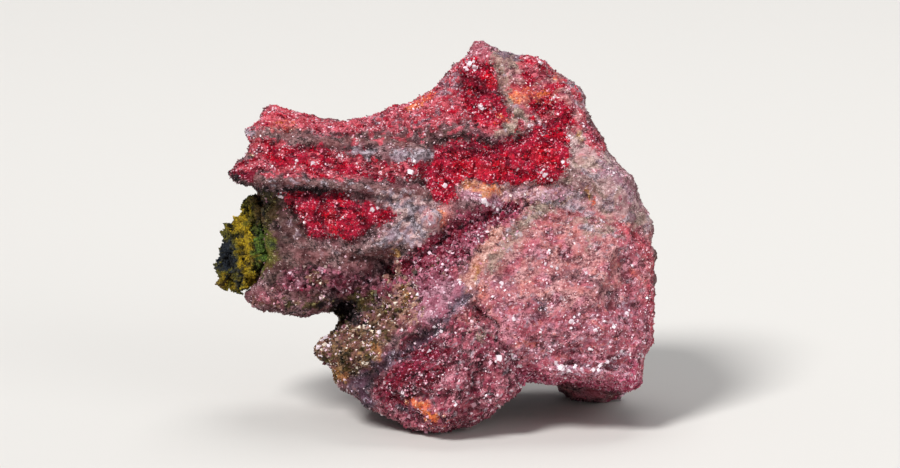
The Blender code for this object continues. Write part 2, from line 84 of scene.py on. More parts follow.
# The ore's colours, and last of them shade, which is painted shadow: a dark, a light, a hue that drifts
# in and a fleck for each. The fleck is a pale speck, partly the ore's own and partly a painted glint.
# They are laid over each other in this order, and the first one lies everywhere.
paints = {
    "mauveGrey": [(56, 32, 36), (150, 112, 116), (128, 66, 74), (210, 176, 182)],
    "brownGrey": [(42, 26, 24), (110, 82, 78), (98, 56, 58), (178, 150, 146)],
    "paleGrey": [(132, 100, 100), (220, 190, 188), (192, 144, 148), (242, 222, 220)],
    "salmon": [(112, 54, 62), (214, 158, 158), (196, 114, 116), (248, 222, 224)],
    "rose": [(98, 32, 48), (212, 140, 154), (184, 82, 98), (248, 210, 220)],
    "coral": [(168, 78, 74), (224, 142, 124), (210, 108, 94), (244, 204, 188)],
    "darkMauve": [(56, 26, 34), (138, 86, 96), (114, 54, 66), (196, 146, 158)],
    "greenGrey": [(110, 94, 84), (186, 162, 148), (186, 138, 132), (216, 194, 186)],
    "bedGrey": [(48, 32, 32), (146, 110, 110), (134, 76, 78), (204, 178, 178)],
    "silver": [(84, 72, 78), (190, 174, 184), (160, 128, 142), (228, 216, 226)],
    "cream": [(158, 100, 94), (224, 180, 168), (212, 144, 128), (244, 218, 210)],
    "plum": [(52, 6, 22), (162, 80, 98), (146, 52, 76), (234, 192, 206)],
    "druseRose": [(56, 2, 18), (198, 118, 140), (150, 38, 66), (242, 206, 220)],
    "lilac": [(100, 52, 66), (190, 136, 152), (168, 88, 110), (232, 200, 214)],
    "bloom": [(22, 28, 6), (96, 104, 34), (104, 78, 34), (150, 142, 84)],
    "tan": [(28, 16, 12), (136, 104, 76), (124, 74, 72), (236, 220, 204)],
    "olive": [(10, 8, 3), (72, 58, 22), (84, 58, 34), (150, 138, 92)],
    "sand": [(74, 42, 38), (206, 166, 144), (180, 120, 114), (246, 228, 212)],
    "slate": [(40, 28, 38), (118, 98, 112), (120, 76, 98), (196, 178, 196)],
    "raspberry": [(112, 20, 38), (220, 110, 126), (200, 74, 84), (248, 204, 212)],
    "fuchsia": [(104, 24, 52), (220, 122, 150), (184, 60, 96), (250, 206, 224)],
    "magenta": [(68, 4, 24), (160, 42, 72), (148, 44, 70), (234, 168, 192)],
    "deepRed": [(84, 0, 18), (208, 20, 50), (196, 44, 76), (244, 160, 178)],
    "maroon": [(48, 0, 12), (128, 18, 40), (144, 38, 60), (214, 124, 144)],
    "brightRed": [(122, 0, 18), (228, 22, 48), (218, 50, 74), (248, 160, 174)],
    "dusk": [(90, 52, 62), (184, 144, 156), (150, 90, 104), (224, 198, 210)],
    "frost": [(150, 108, 126), (228, 196, 212), (198, 140, 160), (250, 236, 242)],
    "orange": [(204, 88, 50), (244, 148, 82), (228, 108, 84), (248, 202, 168)],
    "ochre": [(120, 78, 36), (200, 156, 96), (190, 116, 76), (232, 204, 160)],
    # painted shadow: a near-black laid under the arm's ledges, in creases and furrows, along the foot of the
    # left face and in the notch
    "shade": [(5, 2, 3), (40, 24, 28), (30, 12, 18), (110, 90, 96)],
}

# Where each colour lies on the face, in mm (across, up). An area is a closed outline with its
# coats: colour, how far its edge fades, the most that it covers. A line is colour, fade, half
# width, the most and its path. Two more numbers make blotches, which keep only the swells of
# that size that pass that level.
block = [
    (3.4, 24.0), (8.5, 27.4), (16.0, 26.0), (23.0, 23.5), (24.2, 9.0), (20.0, 4.4), (8.0, 5.0), (2.5, 15.0),
]
blockFoot = [
    (4.2, 16.6), (12.0, 14.2), (24.0, 17.0), (24.5, 4.0), (8.0, 4.0), (6.0, 9.0),
]
upperRight = [
    (13.2, 35.4), (17.5, 33.5), (21.5, 27.5), (24.0, 23.5), (17.0, 20.8), (12.5, 24.0), (7.6, 25.6),
    (9.0, 28.6),
]
topStrip = [
    (-23.5, 34.9), (-21.6, 36.4), (-21.0, 37.6), (-19.5, 38.6), (-16.0, 37.6), (-14.2, 36.2), (-8.5, 37.0),
    (-5.0, 38.6), (-2.0, 40.2), (1.0, 42.5), (1.2, 35.6), (-2.3, 35.2), (-7.0, 35.0), (-10.5, 34.5),
    (-14.0, 34.3), (-18.0, 34.8),
]
redStrip = [
    (-23.3, 34.1), (-19.0, 33.2), (-15.5, 32.9), (-12.8, 32.5), (-10.4, 31.5), (-7.0, 31.2), (-2.2, 31.2),
    (-2.2, 29.3), (-8.6, 29.1), (-15.5, 29.3), (-19.0, 29.6), (-22.4, 29.8), (-25.4, 30.4), (-23.3, 31.2),
    (-22.1, 31.9), (-23.2, 33.0),
]
leftHollow = [
    (-19.0, 27.4), (-16.5, 27.9), (-12.8, 27.6), (-11.0, 26.9), (-8.6, 26.2), (-6.2, 25.5), (-6.4, 24.6),
    (-8.6, 23.9), (-10.2, 22.9), (-11.2, 21.7), (-12.4, 22.2), (-14.1, 22.9), (-15.7, 22.4), (-16.4, 23.4),
    (-17.3, 24.6), (-18.3, 26.0),
]
upperHollow = [
    (-2.1, 31.0), (-1.5, 32.7), (0.5, 33.5), (2.8, 33.6), (4.0, 33.1), (5.6, 32.7), (6.5, 33.6),
    (8.6, 34.4), (10.8, 35.3), (12.3, 35.6), (13.4, 35.0), (13.6, 32.7), (13.3, 30.4), (12.3, 29.0),
    (10.8, 28.7), (8.3, 28.7), (6.2, 28.5), (4.0, 28.8), (2.2, 29.1), (0.9, 28.5), (0.5, 27.3),
    (-0.3, 26.4), (-1.7, 26.5), (-2.0, 27.6), (-2.9, 29.6),
]
peakHollow = [
    (0.8, 42.3), (2.6, 42.9), (4.4, 42.5), (5.2, 41.6), (5.2, 39.6), (6.1, 38.4), (6.2, 37.6), (7.0, 36.2),
    (5.4, 35.1), (2.9, 35.3), (2.2, 36.5), (1.4, 37.8), (0.7, 39.2), (1.4, 40.7),
]
peakRight = [
    (5.6, 41.4), (9.0, 42.6), (13.2, 40.8), (15.4, 38.6), (15.8, 35.8), (13.6, 34.0), (9.6, 34.6),
    (7.4, 34.8), (7.6, 37.4),
]
lobe = [
    (-6.0, 9.5), (-1.0, 12.5), (3.5, 15.0), (5.6, 12.4), (8.6, 8.0), (8.6, 4.5), (1.2, -0.4), (-3.5, -0.5),
    (-8.5, 3.0), (-9.0, 5.0),
]
lobeTip = [
    (-15.0, 8.6), (-16.3, 9.8), (-14.4, 11.6), (-10.8, 12.8), (-8.4, 14.6), (-6.0, 17.2), (-4.2, 17.6),
    (-3.6, 14.8), (-6.4, 12.4), (-7.6, 9.6), (-9.6, 7.6), (-12.2, 6.0), (-13.6, 5.6), (-13.8, 7.6),
]
areas = [
    # the broad block on the right, and its paler upper corner
    (block, [("salmon", 3.0, 1.0), ("rose", 2.4, 0.75, 1.4, 0.04), ("coral", 2.4, 0.4, 0.7, 0.16),
        ("silver", 2.4, 0.45, 0.5, 0.14), ("darkMauve", 2.4, 0.5, 0.45, 0.18)]),
    (blockFoot, [("rose", 4.0, 0.85), ("darkMauve", 2.4, 0.55, 0.5, 0.14), ("lilac", 2.4, 0.7, 0.6, 0.08),
        ("frost", 2.0, 0.6, 0.42, 0.26), ("maroon", 2.0, 0.5, 0.42, 0.3)]),
    (upperRight, [("paleGrey", 3.4, 1.0), ("greenGrey", 2.4, 0.6, 1.8, 0.06),
        ("silver", 2.4, 0.6, 1.1, 0.1), ("rose", 2.4, 0.6, 0.7, 0.14)]),
    # the left face and the beds of the arm
    ([(-21.5, 27.5), (-18.6, 27.0), (-15.5, 22.0), (-13.0, 19.5), (-15.0, 15.0), (-21.0, 16.5)],
        [("brownGrey", 2.6, 1.0)]),
    ([(-22.8, 24.6), (-20.6, 24.6), (-19.8, 22.6), (-19.6, 19.8), (-20.8, 18.8), (-23.4, 16.6)],
        [("bloom", 1.4, 1.0)]),
    ([(-23.0, 28.0), (-20.0, 27.8), (-19.4, 26.2), (-20.0, 23.8), (-23.0, 23.8)], [("olive", 1.0, 1.0),
        ("tan", 1.0, 0.9, 0.6, 0.0)]),
    ([(-9.5, 28.2), (-1.5, 27.0), (-1.0, 22.5), (-6.0, 20.5), (-9.5, 21.5), (-6.0, 24.5)],
        [("paleGrey", 2.2, 0.9), ("silver", 1.8, 0.85, 0.6, -0.1)]),
    (topStrip, [("raspberry", 0.9, 1.0), ("silver", 1.0, 0.7, 0.9, 0.16),
        ("mauveGrey", 1.2, 0.7, 0.9, 0.14), ("brownGrey", 1.0, 0.8, 0.8, 0.18),
        ("deepRed", 0.9, 0.7, 0.8, 0.18)]),
    (redStrip, [("raspberry", 0.9, 1.0), ("deepRed", 1.0, 0.95, 1.1, -0.04),
        ("maroon", 1.0, 0.8, 0.7, 0.16), ("coral", 1.0, 0.5, 0.8, 0.2)]),
    ([(-10.6, 33.0), (-6.5, 33.6), (-2.4, 33.6), (-1.6, 32.4), (-2.6, 31.4), (-7.0, 31.0), (-9.6, 31.6)],
        [("mauveGrey", 1.4, 1.0)]),
    ([(-13.0, 34.6), (-6.5, 35.6), (-2.2, 36.2), (2.6, 36.0), (2.4, 34.4), (-2.4, 33.4), (-7.0, 32.6),
        (-12.0, 32.2)], [("raspberry", 1.6, 0.8, 0.7, 0.0)]),
    ([(-13.0, 34.4), (-6.5, 34.6), (-2.2, 35.0), (2.6, 35.0), (2.2, 33.8), (-2.4, 33.2), (-7.0, 32.4),
        (-12.0, 32.4)], [("brownGrey", 1.2, 0.8, 0.6, 0.0)]),
    (leftHollow, [("raspberry", 2.4, 0.8), ("deepRed", 1.1, 1.0), ("maroon", 1.0, 0.8, 0.8, 0.1)]),
    # the valley, its crystals and the notch at its foot
    # near-black olive in the notch: painted shadow in the notch
    ([(-13.6, 15.0), (-10.5, 16.4), (-8.0, 16.4), (-8.4, 14.6), (-11.5, 12.4), (-14.2, 12.6)],
        [("olive", 1.0, 1.0)]),
    # the lower lobe
    (lobe, [("rose", 1.8, 1.0), ("darkMauve", 1.8, 0.8, 0.7, -0.02), ("plum", 1.8, 0.85, 0.6, 0.0),
        ("silver", 1.8, 0.6, 0.5, 0.14), ("magenta", 1.8, 0.6, 0.6, 0.2)]),
    ([(-6.6, 9.0), (-1.4, 11.6), (1.4, 9.6), (-1.6, 6.0), (-5.2, 3.0), (-8.4, 4.6)],
        [("darkMauve", 2.2, 0.9), ("maroon", 2.0, 0.75, 0.6, -0.1)]),
    ([(0.6, 13.8), (2.4, 15.0), (3.8, 14.2), (5.1, 12.6), (5.1, 10.8), (2.6, 10.6), (0.6, 11.8)],
        [("salmon", 1.4, 0.85)]),
    ([(0.8, 13.6), (2.4, 14.6), (3.6, 14.0), (4.8, 12.6), (4.8, 11.0), (2.6, 10.9), (0.8, 12.0)],
        [("sand", 1.2, 0.35)]),
    ([(-4.6, 17.0), (-1.6, 18.6), (1.6, 17.2), (2.2, 14.6), (-1.0, 12.6), (-4.4, 12.6)],
        [("lilac", 2.4, 1.0)]),
    ([(-6.0, 17.4), (-1.6, 19.6), (1.6, 18.2), (2.4, 14.6), (-1.0, 12.0), (-7.4, 8.6)],
        [("rose", 2.0, 0.85, 0.8, -0.02), ("plum", 1.8, 0.6, 0.6, 0.14)]),
    ([(-6.8, 18.4), (-3.8, 18.6), (-2.6, 16.0), (-3.4, 12.4), (-6.0, 10.6)],
        [("tan", 1.8, 0.7, 0.7, 0.14)]),
    (lobeTip, [("tan", 1.4, 1.0), ("rose", 1.2, 0.7, 0.8, 0.08), ("plum", 1.2, 0.7, 0.6, 0.12),
        ("olive", 1.2, 0.85, 0.7, 0.06), ("ochre", 1.2, 0.4, 0.5, 0.2), ("cream", 1.2, 0.7, 0.45, 0.12)]),
    # the upper hollow, its lip and the paler band under it
    (upperHollow, [("raspberry", 2.2, 0.8), ("deepRed", 1.2, 1.0), ("maroon", 1.0, 0.7, 0.7, 0.2)]),
    # the peak
    ([(0.0, 42.0), (3.3, 46.0), (4.6, 45.2), (4.9, 42.4), (2.4, 42.2), (0.4, 40.4)], [("rose", 1.2, 1.0)]),
    ([(-1.6, 40.8), (0.8, 42.2), (1.4, 39.0), (-0.6, 38.0), (-1.8, 39.2)], [("mauveGrey", 1.4, 0.85)]),
    (peakRight, [("salmon", 1.6, 1.0), ("raspberry", 1.4, 0.85, 1.4, -0.08),
        ("rose", 1.4, 0.8, 0.8, 0.04), ("deepRed", 1.4, 0.85, 1.0, 0.2)]),
    ([(-1.8, 40.6), (0.8, 42.4), (1.6, 39.4), (0.6, 37.6), (-1.2, 38.0)], [("dusk", 1.4, 0.9, 0.7, -0.12)]),
    ([(15.2, 36.0), (16.6, 34.8), (18.2, 32.4), (16.8, 31.8), (15.4, 33.4)], [("raspberry", 1.2, 1.0)]),
    (peakHollow, [("raspberry", 2.8, 0.9), ("deepRed", 1.3, 1.0), ("raspberry", 1.2, 0.8, 0.8, 0.1),
        ("dusk", 1.2, 0.6, 0.6, 0.22)]),
]
lines = [
    # the broad block on the right, and its paler upper corner
    ("coral", 2.0, 0.9, 0.4, [(8.0, 23.5), (11.5, 24.4), (14.0, 23.0)]),
    ("lilac", 2.0, 0.8, 0.55, [(17.6, 30.6), (20.2, 28.6), (21.0, 25.8)]),
    ("silver", 1.6, 0.6, 0.8, [(17.0, 31.0), (19.0, 29.6), (20.6, 27.4)]),
    ("coral", 1.4, 0.4, 0.7, [(20.0, 24.8), (20.8, 24.4)]),
    ("greenGrey", 1.6, 0.5, 0.8, [(15.4, 24.0), (15.8, 21.4)]),
    ("greenGrey", 1.4, 0.5, 0.7, [(17.4, 25.4), (18.4, 24.6)]),
    ("raspberry", 2.0, 0.6, 0.8, [(19.4, 23.6), (21.4, 22.4), (22.8, 20.4), (23.0, 16.0), (23.2, 10.0),
        (22.4, 6.0)]),
    ("rose", 2.8, 1.4, 0.9, [(20.6, 22.0), (21.2, 14.0), (21.0, 7.0)]),
    ("raspberry", 2.2, 0.9, 0.3, [(10.0, 6.6), (15.0, 6.2), (21.0, 6.4)]),
    ("maroon", 1.4, 0.3, 0.7, [(21.6, 14.8), (22.4, 14.0)]),
    ("darkMauve", 1.4, 0.5, 0.75, [(11.6, 18.0), (14.0, 18.4), (16.4, 17.4), (18.6, 15.6)]),
    ("slate", 1.2, 0.4, 0.7, [(9.0, 15.4), (10.8, 14.8)]),
    ("coral", 1.6, 0.5, 0.6, [(7.4, 10.4), (10.6, 10.6)]),
    ("coral", 1.4, 0.3, 0.55, [(7.0, 14.4), (8.4, 13.6)]),
    ("coral", 1.4, 0.3, 0.6, [(14.4, 13.6), (16.0, 13.2), (17.6, 11.8)]),
    ("coral", 1.4, 0.4, 0.7, [(21.0, 18.4), (21.8, 17.6)]),
    ("greenGrey", 1.8, 0.8, 0.85, [(13.0, 26.8), (10.5, 25.8), (8.6, 24.0), (6.8, 22.0), (5.2, 20.2),
        (4.4, 19.0)]),
    ("silver", 1.4, 0.8, 0.8, [(9.5, 25.1), (7.8, 23.6), (6.4, 21.8), (5.0, 20.0)], 0.7, 0.04),
    ("silver", 1.2, 0.5, 0.8, [(10.6, 27.0), (12.6, 26.4), (15.0, 25.8)]),
    ("maroon", 0.8, 0.14, 0.8, [(12.2, 25.4), (13.6, 25.0), (15.0, 25.4)]),
    ("ochre", 0.7, 0.3, 0.9, [(15.5, 28.2), (15.7, 27.0)]),
    ("orange", 0.7, 0.2, 0.7, [(15.9, 26.6), (16.2, 26.0)]),
    ("cream", 1.8, 0.8, 0.95, [(5.3, 23.3), (4.2, 21.2), (3.0, 19.2), (2.0, 17.4)]),
    ("silver", 1.2, 0.8, 0.7, [(5.3, 23.3), (4.2, 21.2), (3.3, 19.0), (2.8, 17.4)], 0.7, 0.06),
    ("ochre", 0.9, 0.3, 0.8, [(3.4, 19.2), (2.9, 17.9)]),
    ("coral", 1.4, 0.4, 0.8, [(3.8, 16.8), (3.2, 15.6)]),
    ("lilac", 1.6, 0.6, 0.7, [(5.4, 17.6), (6.8, 16.8)]),
    ("magenta", 1.8, 1.3, 0.7, [(8.5, 6.2), (12.0, 5.2), (17.0, 5.0), (21.5, 5.2)], 0.8, 0.04),
    ("fuchsia", 1.8, 1.2, 0.8, [(8.5, 6.6), (12.0, 5.6), (17.0, 5.4), (21.0, 5.6)]),
    ("fuchsia", 1.6, 0.6, 0.7, [(20.6, 7.0), (21.2, 10.0), (20.4, 13.6)], 0.7, 0.0),
    ("frost", 1.2, 0.7, 0.9, [(12.0, 7.4), (14.6, 7.4), (17.6, 7.6), (19.4, 8.8)], 0.5, -0.08),
    ("frost", 0.9, 0.4, 0.8, [(19.6, 14.2), (20.4, 13.6)], 0.4, -0.1),
    ("frost", 0.9, 0.4, 0.8, [(6.2, 9.4), (7.4, 8.8)], 0.4, -0.1),
    # the left face and the beds of the arm
    ("silver", 2.0, 0.9, 0.5, [(-19.0, 25.4), (-16.8, 22.0), (-13.4, 20.8), (-10.4, 20.4),
        (-6.0, 20.6)], 0.6, 0.12),
    ("bedGrey", 2.0, 1.3, 0.8, [(-17.0, 20.8), (-13.0, 20.2), (-9.0, 20.6), (-5.0, 20.8)]),
    ("darkMauve", 1.8, 1.3, 0.9, [(-18.3, 17.6), (-15.3, 18.0), (-12.3, 17.6), (-9.8, 17.0), (-6.8, 16.7)]),
    ("druseRose", 1.6, 1.2, 0.85, [(-18.3, 17.6), (-15.3, 18.0), (-12.3, 17.4), (-9.8, 16.8),
        (-6.8, 16.5)], 0.9, -0.04),
    ("lilac", 1.4, 1.2, 0.8, [(-18.3, 18.0), (-15.3, 18.4), (-12.3, 17.8), (-9.8, 17.2),
        (-6.8, 16.9)], 0.8, 0.08),
    ("tan", 0.9, 0.5, 0.9, [(-15.6, 18.0), (-14.2, 17.2)]),
    ("ochre", 0.7, 0.3, 0.9, [(-6.2, 20.9), (-5.8, 20.7)]),
    ("rose", 1.8, 0.7, 0.6, [(-21.5, 15.6), (-19.5, 15.6)]),
    ("salmon", 1.4, 0.4, 0.6, [(-20.6, 17.0), (-19.0, 16.8)]),
    ("olive", 1.2, 0.6, 1.0, [(-19.0, 15.0), (-16.0, 14.8), (-13.0, 15.4)], 0.7, 0.0),
    ("tan", 1.6, 0.9, 0.7, [(-22.0, 15.4), (-19.0, 14.8), (-15.5, 14.6), (-12.6, 15.4)], 0.6, -0.04),
    # painted shade along the foot of the left face
    ("shade", 1.6, 0.7, 0.8, [(-21.5, 13.8), (-19.0, 13.6), (-16.5, 13.8), (-13.5, 15.0)], 0.8, -0.1),
    ("rose", 1.6, 0.6, 0.6, [(-2.6, 26.0), (-2.2, 23.6)]),
    ("orange", 1.2, 0.3, 0.6, [(-1.0, 25.6), (-1.0, 23.6)]),
    ("coral", 1.8, 0.9, 1.0, [(-20.6, 35.6), (-18.6, 35.6), (-17.0, 35.4)]),
    ("orange", 1.8, 0.6, 0.45, [(-20.0, 35.5), (-18.2, 35.4)]),
    ("lilac", 1.0, 0.4, 0.8, [(-9.0, 35.8), (-8.0, 35.4)]),
    ("deepRed", 0.9, 0.7, 1.0, [(-15.0, 32.3), (-13.9, 31.6)]),
    ("deepRed", 0.9, 0.6, 1.0, [(-12.4, 30.6), (-10.6, 30.0)]),
    ("deepRed", 0.9, 0.5, 1.0, [(-20.4, 31.7), (-17.0, 31.2)]),
    ("bedGrey", 0.6, 0.45, 1.0, [(-23.4, 34.4), (-20.7, 34.2), (-18.0, 33.9), (-15.2, 33.6),
        (-13.0, 33.5), (-10.4, 33.8), (-7.8, 33.9), (-5.2, 33.4)]),
    # maroon and shade on the tip's underside: painted shadow under the tip
    ("maroon", 1.0, 0.6, 1.0, [(-25.2, 30.2), (-23.8, 29.6), (-22.6, 29.6)]),
    ("shade", 0.9, 0.3, 0.75, [(-25.8, 30.0), (-24.6, 29.6), (-23.6, 29.2)]),
    ("greenGrey", 0.8, 0.4, 0.8, [(-20.7, 34.1), (-18.0, 33.8), (-15.2, 33.5), (-13.0, 33.4)], 0.8, 0.0),
    ("silver", 0.9, 0.5, 1.0, [(-23.4, 34.5), (-22.6, 34.2)]),
    ("silver", 0.9, 0.4, 0.9, [(-20.8, 38.2), (-19.8, 37.9)]),
    ("tan", 0.9, 0.3, 0.8, [(-23.2, 33.0), (-22.9, 31.9)]),
    ("ochre", 0.7, 0.25, 0.5, [(-23.0, 32.4), (-22.8, 31.8)]),
    ("silver", 1.2, 0.5, 0.9, [(-10.8, 32.4), (-9.0, 31.8)]),
    ("silver", 1.2, 0.7, 0.9, [(-6.0, 32.2), (-4.2, 31.4), (-2.4, 31.8)]),
    ("bedGrey", 0.9, 0.5, 0.9, [(-5.0, 33.0), (-3.4, 32.6), (-2.6, 32.9)]),
    ("bedGrey", 0.8, 0.5, 1.0, [(-25.0, 29.8), (-22.4, 29.2), (-19.8, 28.9), (-17.2, 28.6), (-14.6, 28.5),
        (-12.0, 28.3), (-8.6, 28.3), (-5.2, 27.6), (-2.3, 27.3)]),
    ("silver", 1.0, 0.5, 0.8, [(-20.4, 28.9), (-17.2, 28.6), (-12.0, 28.3), (-8.0, 27.6),
        (-3.0, 27.2)], 0.5, -0.02),
    # painted shadow under bed 2's ledge and under its tip
    ("shade", 0.5, 0.24, 1.0, [(-25.4, 29.6), (-23.8, 28.6), (-22.4, 28.1), (-20.4, 27.8), (-17.6, 27.8),
        (-14.0, 27.9)]),
    ("shade", 0.5, 0.5, 1.0, [(-26.0, 29.6), (-24.6, 28.8), (-23.4, 28.2)]),
    # painted shade in the crease over the notch
    ("shade", 0.7, 0.12, 0.8, [(-11.2, 19.8), (-9.2, 20.0), (-7.6, 19.4)]),
    ("rose", 1.2, 0.6, 0.6, [(-8.6, 25.0), (-6.2, 24.6)]),
    ("brightRed", 1.2, 0.6, 0.8, [(-13.6, 25.4), (-13.2, 23.4)]),
    ("maroon", 1.1, 0.4, 0.9, [(-17.6, 27.0), (-13.0, 27.4)]),
    # the valley, its crystals and the notch at its foot
    ("plum", 1.6, 0.8, 1.0, [(7.4, 25.9), (5.0, 25.4), (3.0, 25.0)]),
    ("druseRose", 1.4, 1.0, 1.0, [(6.4, 25.4), (4.0, 24.6), (2.0, 24.2)]),
    ("plum", 2.0, 1.8, 1.0, [(2.6, 24.0), (0.6, 22.4), (-1.8, 20.4), (-4.4, 18.6), (-6.4, 17.2)]),
    ("druseRose", 1.8, 1.9, 1.0, [(2.8, 23.6), (0.4, 21.6), (-2.0, 19.4), (-4.4, 17.6)]),
    ("rose", 1.6, 1.1, 0.9, [(4.0, 22.6), (1.6, 20.0), (-1.0, 17.6), (-3.4, 16.0)], 0.6, -0.04),
    ("frost", 1.4, 1.2, 0.7, [(4.6, 23.6), (1.6, 20.6), (-1.0, 18.4), (-3.4, 16.6)], 0.42, 0.2),
    ("frost", 0.9, 0.5, 0.85, [(3.0, 26.9), (4.4, 26.5), (5.8, 25.8)], 0.45, -0.12),
    ("salmon", 1.4, 0.6, 0.9, [(-0.8, 26.4), (-0.2, 24.8)]),
    ("coral", 1.2, 0.4, 0.8, [(-1.0, 25.4), (-0.4, 24.6)]),
    ("maroon", 1.4, 0.9, 0.9, [(7.2, 25.7), (3.6, 24.8), (0.6, 23.2), (-1.4, 21.6), (-4.0, 20.0),
        (-6.8, 18.4)], 0.7, 0.06),
    ("magenta", 1.6, 0.8, 0.85, [(7.6, 26.0), (5.6, 25.0), (4.0, 24.2), (1.6, 23.4),
        (-0.6, 22.0)], 0.7, -0.04),
    ("fuchsia", 1.4, 0.8, 0.6, [(7.4, 25.4), (4.4, 24.8), (1.6, 24.6)], 0.5, -0.04),
    ("lilac", 1.2, 0.6, 0.9, [(1.8, 27.4), (3.2, 27.2), (5.6, 26.4)]),
    ("tan", 1.4, 1.2, 0.7, [(-1.0, 19.4), (-4.2, 17.4), (-6.6, 15.8)], 0.7, 0.1),
    # painted shadow in the notch
    ("shade", 1.0, 0.9, 1.0, [(-12.8, 14.8), (-11.6, 14.2), (-10.8, 13.4)]),
    # the lower lobe
    # painted shade in the lobe's furrow
    ("shade", 1.6, 0.3, 0.6, [(-5.6, 9.0), (-3.0, 10.2), (-0.4, 10.8)]),
    ("greenGrey", 1.4, 0.4, 0.5, [(-2.4, 8.2), (0.0, 8.6), (1.4, 7.6)], 0.6, -0.04),
    ("dusk", 1.4, 0.9, 0.5, [(1.4, 12.6), (2.8, 12.8), (4.0, 11.8)], 0.7, -0.1),
    ("raspberry", 1.4, 0.8, 0.65, [(1.2, 13.2), (2.8, 13.8), (4.2, 12.4)], 0.6, -0.14),
    ("coral", 1.4, 0.5, 0.6, [(1.2, 13.4), (3.2, 13.2)]),
    ("greenGrey", 1.2, 0.4, 0.8, [(3.6, 12.6), (3.4, 11.4), (5.0, 11.0)]),
    ("darkMauve", 1.2, 0.3, 0.8, [(0.4, 11.8), (2.2, 10.6), (4.6, 10.0), (6.4, 9.6)]),
    ("ochre", 1.8, 0.6, 0.5, [(-5.2, 16.6), (-4.6, 14.0)]),
    ("dusk", 1.8, 1.6, 0.6, [(-7.4, 17.8), (-5.4, 16.8), (-4.4, 13.4)], 0.5, 0.0),
    ("sand", 1.8, 1.5, 0.95, [(-6.2, 18.0), (-5.4, 16.4), (-4.6, 13.8)], 0.6, -0.22),
    ("sand", 1.4, 0.7, 0.7, [(-10.6, 12.2), (-9.0, 12.6), (-7.4, 13.0)], 0.5, 0.0),
    ("dusk", 1.4, 0.8, 0.7, [(-11.0, 13.4), (-9.2, 14.0), (-8.0, 15.6)], 0.5, -0.02),
    ("cream", 0.9, 0.4, 0.9, [(-14.6, 10.6), (-13.0, 11.8), (-11.4, 12.2)], 0.4, 0.0),
    ("ochre", 1.2, 0.5, 0.7, [(-13.0, 7.2), (-12.0, 6.8)]),
    ("ochre", 1.0, 0.4, 0.7, [(-8.6, 9.8), (-8.0, 9.2)]),
    # slate and dark mauve along the seam: partly the ore's colours, partly the seam's painted shade
    ("slate", 2.2, 0.7, 0.85, [(1.9, 16.0), (0.8, 15.0), (-0.6, 13.2), (-2.2, 11.6), (-4.4, 10.0),
        (-6.6, 9.0), (-8.2, 7.4), (-11.0, 5.8)]),
    ("darkMauve", 1.8, 0.8, 0.8, [(-2.2, 11.4), (-4.4, 9.6), (-6.6, 8.6), (-8.6, 7.0),
        (-11.0, 5.6)], 0.9, -0.04),
    ("silver", 1.2, 0.7, 0.85, [(1.6, 16.0), (0.4, 15.2), (-0.8, 14.0)], 0.7, 0.04),
    ("silver", 1.0, 0.5, 1.0, [(-7.6, 9.2), (-6.0, 8.6)], 0.7, -0.06),
    # painted shade along the seam
    ("shade", 1.0, 0.18, 0.8, [(-2.6, 12.0), (-0.6, 12.2), (1.6, 11.6)]),
    ("slate", 1.6, 0.8, 0.9, [(-9.6, 6.0), (-10.0, 4.4), (-9.2, 3.4)]),
    ("silver", 1.2, 0.5, 1.0, [(-9.6, 4.6), (-8.8, 3.6)], 0.7, 0.0),
    ("magenta", 1.4, 0.7, 0.9, [(-1.8, 9.8), (-3.8, 8.4), (-4.8, 7.4)]),
    ("magenta", 1.4, 0.7, 0.9, [(-5.2, 7.4), (-6.8, 5.4), (-7.2, 4.2)]),
    ("coral", 1.6, 0.6, 0.8, [(-4.6, 4.2), (-2.4, 3.0), (-0.6, 1.8)]),
    ("salmon", 1.2, 0.4, 1.0, [(-8.4, 3.2), (-6.8, 2.8)]),
    ("orange", 1.2, 0.5, 1.0, [(-4.4, 4.1), (-3.0, 3.4)]),
    ("orange", 1.0, 0.5, 1.0, [(-2.4, 2.9), (-1.9, 1.9)]),
    ("slate", 1.2, 0.6, 0.8, [(-5.6, 3.4), (-4.6, 2.6)]),
    # the upper hollow, its lip and the paler band under it
    ("brightRed", 1.6, 0.8, 0.8, [(1.2, 30.4), (4.0, 30.0), (6.0, 30.4)]),
    ("brightRed", 1.6, 0.9, 0.8, [(9.4, 32.0), (11.8, 31.6)]),
    ("maroon", 1.1, 0.3, 1.0, [(-0.8, 32.3), (2.2, 32.9), (5.6, 32.2)]),
    ("salmon", 1.4, 0.7, 0.8, [(7.0, 28.0), (9.6, 28.0), (13.0, 28.0)]),
    ("greenGrey", 1.4, 0.6, 0.7, [(6.2, 27.6), (8.6, 27.2), (11.6, 27.2)]),
    # sand and frost: paler paint under the lip, painted light that lifts the lip's own shade
    ("sand", 1.4, 1.0, 0.8, [(7.6, 27.4), (10.0, 27.2), (13.0, 27.2)], 0.6, -0.2),
    ("frost", 1.6, 0.9, 0.55, [(6.8, 27.6), (10.0, 27.4), (13.4, 27.6)]),
    ("cream", 1.2, 0.8, 0.9, [(1.8, 28.2), (4.0, 27.6), (6.6, 27.4)]),
    ("ochre", 1.0, 0.3, 0.6, [(1.4, 28.5), (3.0, 28.2), (4.6, 27.7)]),
    ("orange", 1.2, 0.5, 0.6, [(1.8, 28.3), (3.4, 28.0), (5.4, 27.8)]),
    # the peak
    ("bedGrey", 1.4, 0.4, 0.5, [(2.8, 44.8), (4.2, 44.2)]),
    ("silver", 1.0, 0.4, 0.9, [(4.9, 44.6), (6.4, 43.9), (8.4, 43.3)]),
    ("slate", 0.9, 0.3, 0.8, [(5.6, 43.6), (7.0, 43.1), (8.2, 42.8)]),
    ("greenGrey", 1.6, 0.6, 0.8, [(6.4, 43.0), (8.0, 41.8), (11.4, 41.2)]),
    ("coral", 2.2, 1.1, 0.9, [(7.4, 38.6), (9.6, 38.8), (11.4, 38.2)]),
